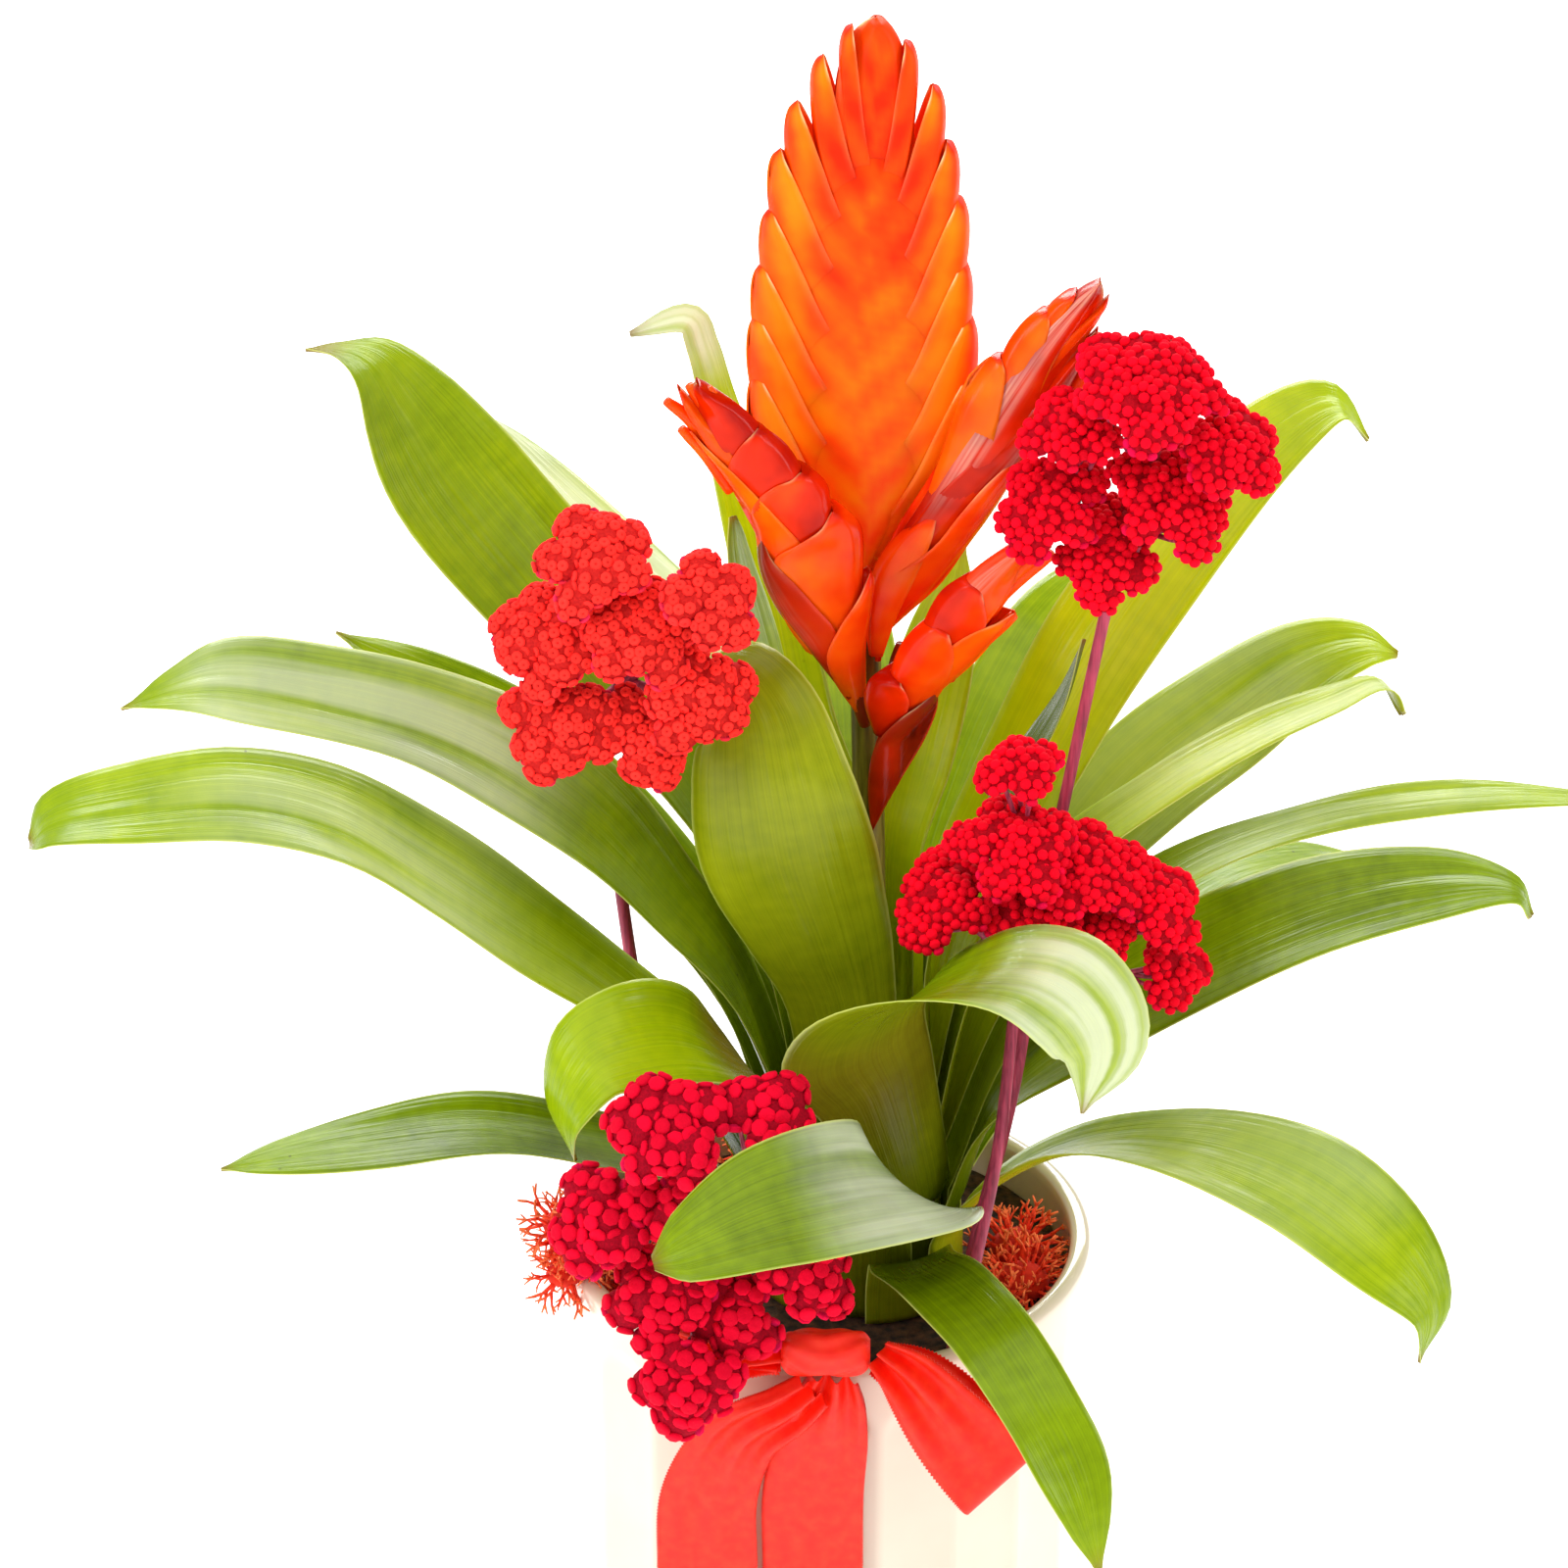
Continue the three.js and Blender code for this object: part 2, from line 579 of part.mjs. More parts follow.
const sideSpikes = {
  left: {
    foot: [8, -9, 297], head: [-26, -26, 374], facing: [0, -1, 0.2], stub: [8.7, -6, 289],
    scales: [[0, 0.56, 7, 15, 5], [0.02, 0.56, -11, 17, 6], [0.22, 0.84, 7, 18, 6.5],
      [0.26, 0.84, -9, 20, 6.5], [0.46, 1.02, 2, 18, 6]],
    buds: [[0.66, [-40, -27, 385]], [0.7, [-34, -28, 391]], [0.7, [-26, -29, 388]], [0.62, [-19, -26, 379]],
      [0.6, [-36, -25, 375]]],
  },
  right_upper: {
    foot: [14.4, -5.4, 304], head: [56.4, -12.4, 400], facing: [0, -1, 0.2], stub: [13.6, -3.8, 293],
    scales: [[0, 0.46, -8, 15, 5], [0.06, 0.56, 8, 15, 5.5], [0.22, 0.7, -9, 18, 6],
      [0.32, 0.88, 8, 17, 5.5], [0.46, 0.94, -7, 16, 5.5], [0.56, 1, 2, 14, 5]],
    buds: [[0.72, [65, -12, 406]], [0.74, [58, -13, 409]], [0.7, [51, -12, 404]]],
  },
  right_lower: {
    foot: [15, -12, 289], head: [42, -27, 342], facing: [0, -1, 0.2], stub: [12.0, -5.1, 276],
    scales: [[0, 0.56, 4, 12, 4.5], [0.1, 0.72, -4, 13, 5], [0.36, 0.96, 2, 13, 5]],
    buds: [[0.6, [48, -28, 352]], [0.6, [53, -27, 347]], [0.5, [46, -26, 330]]],
    clasp: { foot: [11.9, -6.4, 258], tip: [24, -15, 303], width: 14, thick: 2.6 },
  },
};

// Flower stalk, from the stem of the rosette up into the foot of the main spike
function scapeGeometry() {
  const line = [[9, 0, STEM_TOP + GAP], [10, 0, 230], [9.5, 0, 275], [8, 0, SPIKE_FOOT - GAP]];
  return tube(line, SCAPE_RADIUS, 8, 4);
}

// Yarrow: each head has a stem from its foot in the soil, a hub where its branches part, the way that it
// faces, and lobes of florets as centre and radius
const yarrows = {
  upper_left: {
    stem: [[-36, 24, 98], [-42, 22, 150], [-50, 21, 205], [-55, 20, 252], [-56, 14, 277], [-52, 2, 293]],
    hub: [-50, -5, 300], facing: [0.05, -0.86, 0.5],
    lobes: [[-57, -30, 345, 14], [-28, -35, 336, 12.4], [-46, -32, 328, 15], [-67, -30, 323, 14.5],
      [-64, -31, 301, 14.5], [-46, -32, 298, 12.4], [-32, -34, 310, 13.5]],
  },
  upper_right: {
    stem: [[27, -42, 98], [35, -38.5, 150], [46, -30, 200], [52, -23, 245], [59, -20, 285],
      [67, -20, 332]],
    hub: [69, -21, 338], facing: [0.1, -0.62, 0.75],
    lobes: [[74, -33, 391, 18], [55, -33, 380, 12], [51, -34, 361, 13.5], [94, -33, 376, 13],
      [80, -35, 363, 15], [66, -34, 350, 13]],
  },
  middle_right: {
    stem: [[27.5, -49.5, 98], [34.5, -46, 146], [42, -39.5, 188], [46, -35, 232]],
    hub: [48, -35, 238], facing: [0.05, -0.6, 0.78],
    lobes: [[47, -37, 293, 10], [44, -41, 274, 15], [63, -40, 266, 14], [28, -40, 259, 13],
      [50, -42, 255, 12], [66, -41, 250, 10], [80, -40, 257, 12], [84, -40, 238, 9]],
  },
  lower_left: {
    stem: [[-20, -36, 98], [-22, -42, 135], [-25, -54, 158], [-28, -64, 170]],
    hub: [-29, -68, 175], facing: [-0.1, -0.9, 0.42],
    lobes: [[-39, -82, 219, 15], [-16, -78, 222, 11], [-56, -80, 192, 14], [-42, -82, 170, 13.5],
      [-24, -81, 165, 12], [-6, -80, 176, 12.4], [-32, -82, 195, 14], [-36, -89, 150, 13.5]],
  },
};

// Lobe of a yarrow head: a low dome of six-sided florets, each with a raised middle, on a cone below
function lobeGeometry(centre, normal, radius) {
  const turn = turnedTo(normal);
  const rings = radius > LOBE_SMALL ? 2 : 1;
  const pitch = radius / (rings + 0.5);
  const place = (x, y, lift) => {
    const fall = (x * x + y * y) / (radius * radius);
    return vec(x, y, radius * LOBE_RISE * (1 - fall) + lift).applyQuaternion(turn).add(centre);
  };
  const points = [];
  const known = new Map();
  const indexOf = (x, y, lift) => {
    const key = `${x.toFixed(2)},${y.toFixed(2)}`;
    if (!known.has(key)) known.set(key, points.push(place(x, y, lift)) - 1);
    return known.get(key);
  };
  const triangles = [];
  const edges = new Map();
  for (let q = -rings; q <= rings; q += 1) {
    for (let r = Math.max(-rings, -q - rings); r <= Math.min(rings, -q + rings); r += 1) {
      const [x, y] = [pitch * (q + r / 2), pitch * r * Math.sqrt(0.75)];
      const middle = indexOf(x, y, pitch * FLORET_LIFT);
      const corners = [0, 1, 2, 3, 4, 5].map((k) => {
        const angle = Math.PI / 6 + (k * Math.PI) / 3;
        const reach = pitch / Math.sqrt(3);
        return indexOf(x + reach * Math.cos(angle), y + reach * Math.sin(angle), 0);
      });
      corners.forEach((corner, k) => {
        const next = corners[(k + 1) % 6];
        triangles.push([middle, corner, next]);
        edges.set(`${corner},${next}`, [corner, next]);
      });
    }
  }
  const apex = points.push(centre.clone().addScaledVector(normal, -radius * LOBE_CONE)) - 1;
  for (const [from, to] of edges.values()) {
    if (!edges.has(`${to},${from}`)) triangles.push([to, from, apex]);
  }
  return meshOf(points, triangles);
}

function yarrowHeadGeometry({ stem, hub, facing, lobes }) {
  const face = vec(...facing).normalize();
  const root = vec(...hub);
  const stemTop = vec(...stem[stem.length - 1]);
  const neckFoot = stemTop.clone().lerp(root, NECK_GAP / stemTop.distanceTo(root));
  const pieces = [spine(neckFoot, root.clone().add(root).sub(neckFoot), YARROW_STEM_RADIUS, 6)];
  for (const [x, y, z, radius] of lobes) {
    const centre = vec(x, y, z);
    const out = centre.clone().sub(root);
    out.addScaledVector(face, -out.dot(face)).multiplyScalar(LOBE_LEAN);
    const normal = face.clone().add(out).normalize();
    pieces.push(spine(root, centre.clone().addScaledVector(normal, 1), BRANCH_RADIUS, 4));
    pieces.push(lobeGeometry(centre, normal, radius));
  }
  return fuse(pieces);
}

// Moss: a small core in each tuft, with forked branchlets standing out of it
const mossClumps = {
  right: { tufts: [[50, -12, 126.7, 9], [49, 4, 126.7, 9], [42, -27, 126.8, 8]], seed: 7 },
  left: { tufts: [[-49, -16, 126.7, 9], [-52, -14, 135, 8], [-62, -20, 144.5, 9]], seed: 19 },
  back: { tufts: [[-14, 46, 126.6, 10], [4, 49, 126.6, 10]], seed: 31 },
};

function mossGeometry({ tufts, seed }) {
  const draw = seeded(seed);
  const inside = POT_RADIUS - POT_WALL - 1;
  const pieces = [];
  for (const [x, y, z, radius] of tufts) {
    const centre = vec(x, y, z);
    const core = new THREE.IcosahedronGeometry(radius * 0.85, 0);
    core.scale(1, 1, 0.6);
    core.translate(x, y, z + radius * 0.5);
    pieces.push(core);
    for (let i = 0; i < MOSS_BRANCHES; i += 1) {
      const turn = i * GOLDEN_ANGLE;
      const up = 0.15 + 0.8 * draw();
      const flat = Math.sqrt(1 - up * up);
      const direction = vec(flat * Math.cos(turn), flat * Math.sin(turn), up);
      const root = centre.clone().add(vec(0, 0, radius * 0.5)).addScaledVector(direction, radius * 0.45);
      const tip = root.clone().addScaledVector(direction, radius * (0.75 + 0.35 * draw()));
      const fromAxis = Math.hypot(tip.x, tip.y);
      if (fromAxis > inside && tip.z < POT_HEIGHT + 2) continue;
      pieces.push(spine(root, tip, 1.7, 3));
    }
  }
  return fuse(pieces);
}

// Ribbon pieces: flat strips along a path, with the strip's width direction at its start
function ribbonGeometry({ line, widths, side, steps }) {
  const curve = new THREE.CatmullRomCurve3(line.map((p) => vec(...p)), false, 'catmullrom');
  const frames = framesAlong(curve, () => 0, vec(...side), steps);
  return blade(frames, smoothList(widths), () => 0, 2, RIBBON_THICKNESS);
}

const ribbons = {
  tail_left: {
    line: [[-4, -76.6, 140.5], [-11, -76.2, 134], [-23, -74.5, 124], [-30, -73, 106], [-30.5, -72, 84],
      [-31, -72, 60], [-32, -73, 40]],
    widths: [11, 15, 20, 24, 25, 25, 25], side: [1, 0, 0], steps: 9,
  },
  tail_right: {
    line: [[1, -74.4, 142.5], [0, -74.2, 135], [-2, -73, 123], [-4, -72, 106], [-4, -71, 84],
      [-4, -71, 56], [-3, -72, 30]],
    widths: [12, 18, 23, 25, 25, 25, 25], side: [1, 0, 0], steps: 9,
  },
  loop_left: {
    line: [[-12, -75.6, 151], [-22, -76.6, 151], [-33, -75, 152], [-41, -71, 153], [-43, -68, 153],
      [-40, -66, 152], [-32, -67.5, 150], [-22, -71, 149], [-12, -74, 149]],
    widths: [10, 13, 15, 16, 16, 16, 15, 13, 10], side: [0, 0, 1], steps: 12,
  },
  loop_right: {
    line: [[12, -76.4, 151], [20, -81.5, 146], [30, -88.5, 136.5], [40, -94, 127], [42.9, -92.5, 124.3],
      [41.8, -88.5, 125.3], [32.6, -82.8, 134.1], [22.4, -77, 143.4], [12, -74.4, 148.5]],
    widths: [9, 17, 23, 25, 25, 25, 23, 17, 9], side: [0.69, 0, 0.72], steps: 16,
  },
  strap: {
    line: [[-1, -69.6, 152], [-1, -69.4, 144], [-1, -67.4, 141.4], [-1, -64.4, 141.2], [-1, -61.8, 140],
      [-1, -61.1, 136], [-1, -61, 128]],
    widths: [12, 13, 14, 14, 14, 14, 14], side: [1, 0, 0], steps: 9,
  },
};

// Knot: a gathered band wrapped tight round the middle of the bow
function knotGeometry() {
  const rings = KNOT_PROFILE.map(([x, high, deep]) => {
    const corners = [];
    for (let i = 0; i < KNOT_SIDES; i += 1) {
      const angle = (2 * Math.PI * i) / KNOT_SIDES;
      const fold = 1 + (i % 2 === 0 ? 0.05 : -0.05);
      const [y, z] = [deep * fold * Math.cos(angle), high * fold * Math.sin(angle)];
      corners.push(KNOT_CENTRE.clone().add(vec(x, y, z)));
    }
    return corners;
  });
  const [first, last] = [KNOT_PROFILE[0][0], KNOT_PROFILE[KNOT_PROFILE.length - 1][0]];
  return loft(rings, KNOT_CENTRE.clone().add(vec(first, 0, 0)), KNOT_CENTRE.clone().add(vec(last, 0, 0)));
}

addPart('pot', potGeometry(), 'glaze');
addPart('soil', soilGeometry(Object.values(yarrows).map(({ stem }) => [stem[0], stem[1]])), 'soil');
addPart('rosette_stem', coreGeometry(), 'stem');
for (const [name, leaf] of Object.entries(leaves)) addPart(`leaf_${name}`, leafGeometry(leaf), 'leaf');
addPart('flower_stalk', scapeGeometry(), 'stem');
addPart('spike_main', mainSpikeGeometry(), 'bract');
for (const [name, spike] of Object.entries(sideSpikes)) {
  addPart(`spike_${name}`, sideSpikeGeometry(spike), 'bract');
}
for (const [name, yarrow] of Object.entries(yarrows)) {
  addPart(`yarrow_stem_${name}`, tube(yarrow.stem, YARROW_STEM_RADIUS, 6, 6), 'yarrowStem');
  addPart(`yarrow_head_${name}`, yarrowHeadGeometry(yarrow), 'yarrow');
}
for (const [name, clump] of Object.entries(mossClumps)) addPart(`moss_${name}`, mossGeometry(clump), 'moss');
addPart('ribbon_knot', knotGeometry(), 'satin');
for (const [name, strip] of Object.entries(ribbons)) {
  addPart(`ribbon_${name}`, ribbonGeometry(strip), 'satin');
}

export default group;
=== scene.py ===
import math
import random

import bmesh
import bpy
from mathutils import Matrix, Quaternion, Vector


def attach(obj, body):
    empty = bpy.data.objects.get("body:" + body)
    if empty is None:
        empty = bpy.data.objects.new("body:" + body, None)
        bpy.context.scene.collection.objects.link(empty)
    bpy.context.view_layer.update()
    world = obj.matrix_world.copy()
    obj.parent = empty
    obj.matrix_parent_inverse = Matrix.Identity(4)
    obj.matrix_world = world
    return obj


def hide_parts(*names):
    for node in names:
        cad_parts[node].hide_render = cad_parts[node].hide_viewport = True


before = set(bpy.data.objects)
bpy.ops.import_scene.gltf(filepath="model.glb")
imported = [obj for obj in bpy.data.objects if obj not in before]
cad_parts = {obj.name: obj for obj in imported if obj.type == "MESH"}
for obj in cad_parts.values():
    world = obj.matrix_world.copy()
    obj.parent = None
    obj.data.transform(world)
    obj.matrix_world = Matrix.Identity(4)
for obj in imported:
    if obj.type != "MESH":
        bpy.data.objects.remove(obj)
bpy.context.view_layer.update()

# Sizes are in millimetres up to the point where a mesh is made, which is in metres
MM = 0.001

# Pot and soil
POT_HEIGHT = 140
POT_RADIUS = 68
POT_WALL = 5.5
POT_FLOOR = 6
LIP_HEIGHT = 2.4
LIP_STEPS = 10
FLUTE_COUNT = 21
FLUTE_DEPTH = 1.4
FLUTE_PHASE = math.radians(6.6)
FLUTE_TOP = 130
FLUTE_ARCH = 9
FLUTE_SAMPLES = 14
SOIL_TOP = 127

# Rosette
STEM_AXIS = Vector((9, 0, 0))
LAYER_OUTERMOST = 27.4
LAYER_PITCH = 1.6
LEAF_THICKNESS = 0.8
LEAF_STATIONS = 52
LEAF_STRIPS = 14
LEAF_CUP = 0.028
LEAF_CUP_FADE = 0.004
LEAF_CUP_TIP = 0.006
LEAF_MAP_WIDTH = 50
LEAF_MAP_LENGTH = 400

# Flower spike
SPIKE_FOOT = 324
SPIKE_AXIS = 8.2
SPIKE_LEAN = 0.019
STUB_RADIUS = 1.8
BRACT_LENGTH = 56
BRACT_WALL = 0.4
BRACT_STATIONS = 30
BRACT_SECTION = 28
CORE_STEPS = 48
CORE_THINNEST = 0.8

# Yarrow and ribbon
YARROW_STEM_RADIUS = 2.4
BRANCH_RADIUS = 1.3
RIBBON_WIDTH = 25
RIBBON_THICKNESS = 0.4
RIBBON_STRIPS = 24
PICOT_PITCH = 0.7
KNOT_CENTRE = Vector((-1, -75, 150.5))

# Camera
AIM = Vector((-11.2, 0, 269))
CAMERA_DISTANCE = 1500
CAMERA_RISE = math.radians(28)


def linear(colour):
    """An sRGB hex colour as linear red, green, blue and alpha."""
    parts = [int(colour[k:k + 2], 16) / 255 for k in (1, 3, 5)]
    return (*(c / 12.92 if c <= 0.04045 else ((c + 0.055) / 1.055) ** 2.4 for c in parts), 1.0)


def add_node(tree, kind, inputs=None, ramp=None, **settings):
    """Adds a node with its settings. Each input is a value, or the socket that feeds it."""
    made = tree.nodes.new(kind)
    for key, value in settings.items():
        setattr(made, key, value)
    for key, value in (inputs or {}).items():
        if isinstance(value, bpy.types.NodeSocket):
            tree.links.new(value, made.inputs[key])
        else:
            made.inputs[key].default_value = value
    if ramp:
        elements = made.color_ramp.elements
        while len(elements) < len(ramp):
            elements.new(0.5)
        for element, (place, colour) in zip(elements, ramp):
            element.position = place
            element.color = linear(colour)
    return made


def new_material(name, **sockets):
    """A material with its tree and its Principled shader, with the named sockets set."""
    made = bpy.data.materials.new(name)
    made.use_nodes = True
    shader = made.node_tree.nodes["Principled BSDF"]
    for key, value in sockets.items():
        shader.inputs[key.replace("_", " ")].default_value = value
    return made, made.node_tree, shader


# Curves and meshes

def spline(points, t):
    """A smooth curve through evenly spaced points, read at t from 0 to 1."""
    last = len(points) - 1
    place = min(max(t, 0.0), 1.0) * last
    k = min(int(place), last - 1)
    f = place - k
    p1, p2 = points[k], points[k + 1]
    p0 = points[k - 1] if k > 0 else tuple(2 * a - b for a, b in zip(p1, p2))
    p3 = points[k + 2] if k + 2 <= last else tuple(2 * b - a for a, b in zip(p1, p2))
    return tuple(
        b + 0.5 * f * (c - a + f * (2 * a - 5 * b + 4 * c - d + f * (3 * b - 3 * c + d - a)))
        for a, b, c, d in zip(p0, p1, p2, p3)
    )


def read_list(values, t):
    return spline([(v,) for v in values], t)[0]


def smooth(low, high, value):
    share = min(max((value - low) / (high - low), 0.0), 1.0)
    return share * share * (3 - 2 * share)


def frames_along(points, side, stations, rolls=None):
    """Stations along a curve, each with its centre, its side, its normal and the length so far."""
    frames = []
    side = Vector(side)
    length = 0.0
    before = Vector(spline(points, 0))
    for k in range(stations + 1):
        t = k / stations
        centre = Vector(spline(points, t))
        tangent = (Vector(spline(points, t + 0.002)) - Vector(spline(points, t - 0.002))).normalized()
        side = (side - tangent * side.dot(tangent)).normalized()
        turn = read_list(rolls, t) if rolls else 0.0
        rolled = Quaternion(tangent, turn) @ side
        length += (centre - before).length
        before = centre
        frames.append((t, centre, rolled, tangent.cross(rolled), length))
    return frames


def loft(rings, start=None, end=None):
    """Rings of points joined in order, closed at each end by a fan to a point or by one face."""
    count = len(rings[0])
    points = [p for ring in rings for p in ring]
    faces = []
    for k in range(len(rings) - 1):
        for i in range(count):
            a, b = k * count + i, k * count + (i + 1) % count
            faces.append((a, b, b + count, a + count))
    top = (len(rings) - 1) * count
    if start is None:
        faces.append(tuple(reversed(range(count))))
    else:
        points.append(start)
        faces += [(len(points) - 1, (i + 1) % count, i) for i in range(count)]
    if end is None:
        faces.append(tuple(top + i for i in range(count)))
    else:
        points.append(end)
        faces += [(len(points) - 1, top + i, top + (i + 1) % count) for i in range(count)]
    return points, faces


def tube(points, radii, sides, stations):
    """A tube along a smooth curve, with its radius read along it and a flat cap at each end."""
    end_to_end = (Vector(points[-1]) - Vector(points[0])).normalized()
    side = Vector((1, 0, 0)) if abs(end_to_end.x) < 0.9 else Vector((0, 1, 0))
    frames = frames_along(points, side, stations)
    turns = [2 * math.pi * i / sides for i in range(sides)]
    rings = []
    for t, centre, across, normal, _ in frames:
        radius = read_list(radii, t)
        rings.append([centre + (across * math.cos(a) + normal * math.sin(a)) * radius for a in turns])
    return loft(rings, frames[0][1], frames[-1][1])


def ring_middle(ring):
    return ring[0].lerp(ring[len(ring) // 2], 0.5)


def joined(parts):
    """Several lists of points and faces as one."""
    points, faces = [], []
    for more_points, more_faces in parts:
        base = len(points)
        points += more_points
        faces += [tuple(i + base for i in face) for face in more_faces]
    return points, faces


def make_mesh(name, points, faces, marks=None, grid=None):
    """A mesh in metres whose faces point outwards, with named values and a flat map on its points."""
    mesh = bpy.data.meshes.new(name)
    mesh.from_pydata([Vector(p) * MM for p in points], [], faces)
    for mark, values in (marks or {}).items():
        mesh.attributes.new(mark, "FLOAT", "POINT").data.foreach_set("value", values)
    if grid:
        layer = mesh.uv_layers.new(name="UVMap")
        flat = [c for loop in mesh.loops for c in grid[loop.vertex_index]]
        layer.data.foreach_set("uv", flat)
    work = bmesh.new()
    work.from_mesh(mesh)
    bmesh.ops.recalc_face_normals(work, faces=work.faces)
    work.to_mesh(mesh)
    work.free()
    mesh.shade_smooth()
    return mesh


def show(name, mesh, finish, slot, *nodes):
    """Puts a mesh in the scene as a piece of the arrangement that stands for the named nodes."""
    piece = bpy.data.objects.new(name, mesh)
    bpy.context.scene.collection.objects.link(piece)
    if finish:
        mesh.materials.clear()
        mesh.materials.append(finish)
    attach(piece, "root")
    if nodes:
        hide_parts(*nodes)
    return piece


# Camera, at the photograph's angle above the middle of the arrangement
camera = bpy.data.objects.new("camera", bpy.data.cameras.new("camera"))
bpy.context.scene.collection.objects.link(camera)
sight = Vector((0, math.cos(CAMERA_RISE), -math.sin(CAMERA_RISE)))
camera.location = (AIM - sight * CAMERA_DISTANCE) * MM
camera.rotation_euler = sight.to_track_quat("-Z", "Y").to_euler()
camera.data.lens = 139.05
camera.data.sensor_width = 36
bpy.context.scene.camera = camera


# Plain white studio: an even white surround, a large soft box above, one at each side and one behind
def soft_box(name, place, target, size, power):
    light = bpy.data.lights.new(name, "AREA")
    light.shape = "RECTANGLE"
    light.size, light.size_y = size
    light.energy = power
    lamp = bpy.data.objects.new(name, light)
    lamp.location = place
    lamp.rotation_euler = (Vector(target) - Vector(place)).to_track_quat("-Z", "Y").to_euler()
    bpy.context.scene.collection.objects.link(lamp)


soft_box("box_above", (-0.3, -0.35, 1.6), (0, 0, 0.25), (2.4, 1.8), 21)
soft_box("box_left", (-1.5, -0.8, 0.9), (0, 0, 0.25), (0.5, 1.1), 14)
soft_box("box_right", (1.6, -0.5, 0.8), (0, 0, 0.25), (0.5, 1.1), 12)
soft_box("box_behind", (0.1, 1.6, 1.15), (0, 0, 0.3), (1.8, 0.5), 30)
world = bpy.data.worlds.new("white_surround")
world.use_nodes = True
world.node_tree.nodes["Background"].inputs["Color"].default_value = linear("#FFFFFF")
world.node_tree.nodes["Background"].inputs["Strength"].default_value = 0.5
bpy.context.scene.world = world
bpy.context.scene.view_settings.view_transform = "Standard"

# Floor: matt white board, lit to the photograph's plain white
board, _, _ = new_material("matt_white_board", Base_Color=linear("#FFFFFF"), Roughness=0.9,
                           Emission_Color=linear("#FFFFFF"), Emission_Strength=0.45, Specular_IOR_Level=0.0)
floor_corners = [(x, y, -0.5) for x, y in ((-4000, -4000), (4000, -4000), (4000, 4000), (-4000, 4000))]
floor_mesh = bpy.data.meshes.new("floor")
floor_mesh.from_pydata([Vector(corner) * MM for corner in floor_corners], [], [(0, 1, 2, 3)])
floor_mesh.materials.append(board)
floor = bpy.data.objects.new("floor", floor_mesh)
bpy.context.scene.collection.objects.link(floor)


# What the finishes share: a mark on the mesh, a stretched place, noise, sums, ranges, tints and small relief

def mesh_mark(tree, name):
    """A value that a mesh carries on its points."""
    return add_node(tree, "ShaderNodeAttribute", attribute_name=name).outputs["Fac"]


def stretched(tree, place, *scale):
    return add_node(tree, "ShaderNodeMapping", {"Vector": place, "Scale": scale}).outputs["Vector"]


def noise(tree, place, scale=1.0, detail=2.0):
    inputs = {"Vector": place, "Scale": scale, "Detail": detail}
    return add_node(tree, "ShaderNodeTexNoise", inputs).outputs["Fac"]


def combine(tree, operation, *values):
    return add_node(tree, "ShaderNodeMath", dict(enumerate(values)), operation=operation).outputs[0]


def swing(tree, value, amount, total):
    """The total, raised and lowered by how far a noise value is from its middle."""
    return combine(tree, "MULTIPLY_ADD", combine(tree, "SUBTRACT", value, 0.5), amount, total)


def span(tree, value, low, high, start=0.0, end=1.0):
    """A value that goes from low to high, as one that goes from start to end and no further."""
    return add_node(tree, "ShaderNodeMapRange", {
        "Value": value, "From Min": low, "From Max": high, "To Min": start, "To Max": end}).outputs[0]


def tones(tree, value, *ramp):
    return add_node(tree, "ShaderNodeValToRGB", {"Fac": value}, ramp=ramp).outputs["Color"]


def coat(tree, share, under, over):
    """One colour coated with another, by a share from 0 to 1."""
    return add_node(tree, "ShaderNodeMix", {0: share, 6: under, 7: over}, data_type="RGBA").outputs[2]


def relief(tree, height, strength, distance, below=None):
    """Fine bumps up to a distance in metres high, on top of other bumps where they are given."""
    inputs = {"Height": height, "Strength": strength, "Distance": distance}
    if below:
        inputs["Normal"] = below
    return add_node(tree, "ShaderNodeBump", inputs).outputs["Normal"]


def feed(tree, shader, **sources):
    for key, source in sources.items():
        tree.links.new(source, shader.inputs[key.replace("_", " ")])


# Finishes

def glaze_finish():
    """Glazed stoneware: a cream body under clear glaze, so it is pale with sharp bright reflections."""
    made, tree, shader = new_material("cream_glazed_stoneware", Roughness=0.16, IOR=1.5, Coat_Weight=0.5,
                                      Coat_Roughness=0.06)
    place = add_node(tree, "ShaderNodeTexCoord").outputs["Object"]
    tint = tones(tree, noise(tree, place, 28.0, 3.0), (0.3, "#DACBB6"), (0.7, "#E2D4C0"))
    # The glaze pools in waves about 6 mm apart, only a few hundredths of a millimetre high
    waves = relief(tree, noise(tree, place, 160.0, 1.0), 0.08, 0.0004)
    feed(tree, shader, Base_Color=tint, Normal=waves)
    return made


def peat_finish():
    """Peat and bark: dark matt fibres with paler crumbs between them."""
    made, tree, shader = new_material("peat_potting_soil", Roughness=0.95)
    place = add_node(tree, "ShaderNodeTexCoord").outputs["Object"]
    grain = noise(tree, place, 420.0, 6.0)
    tint = tones(tree, grain, (0.35, "#1E120A"), (0.7, "#5A3A22"))
    feed(tree, shader, Base_Color=tint, Normal=relief(tree, grain, 0.9, 0.001))
    return made


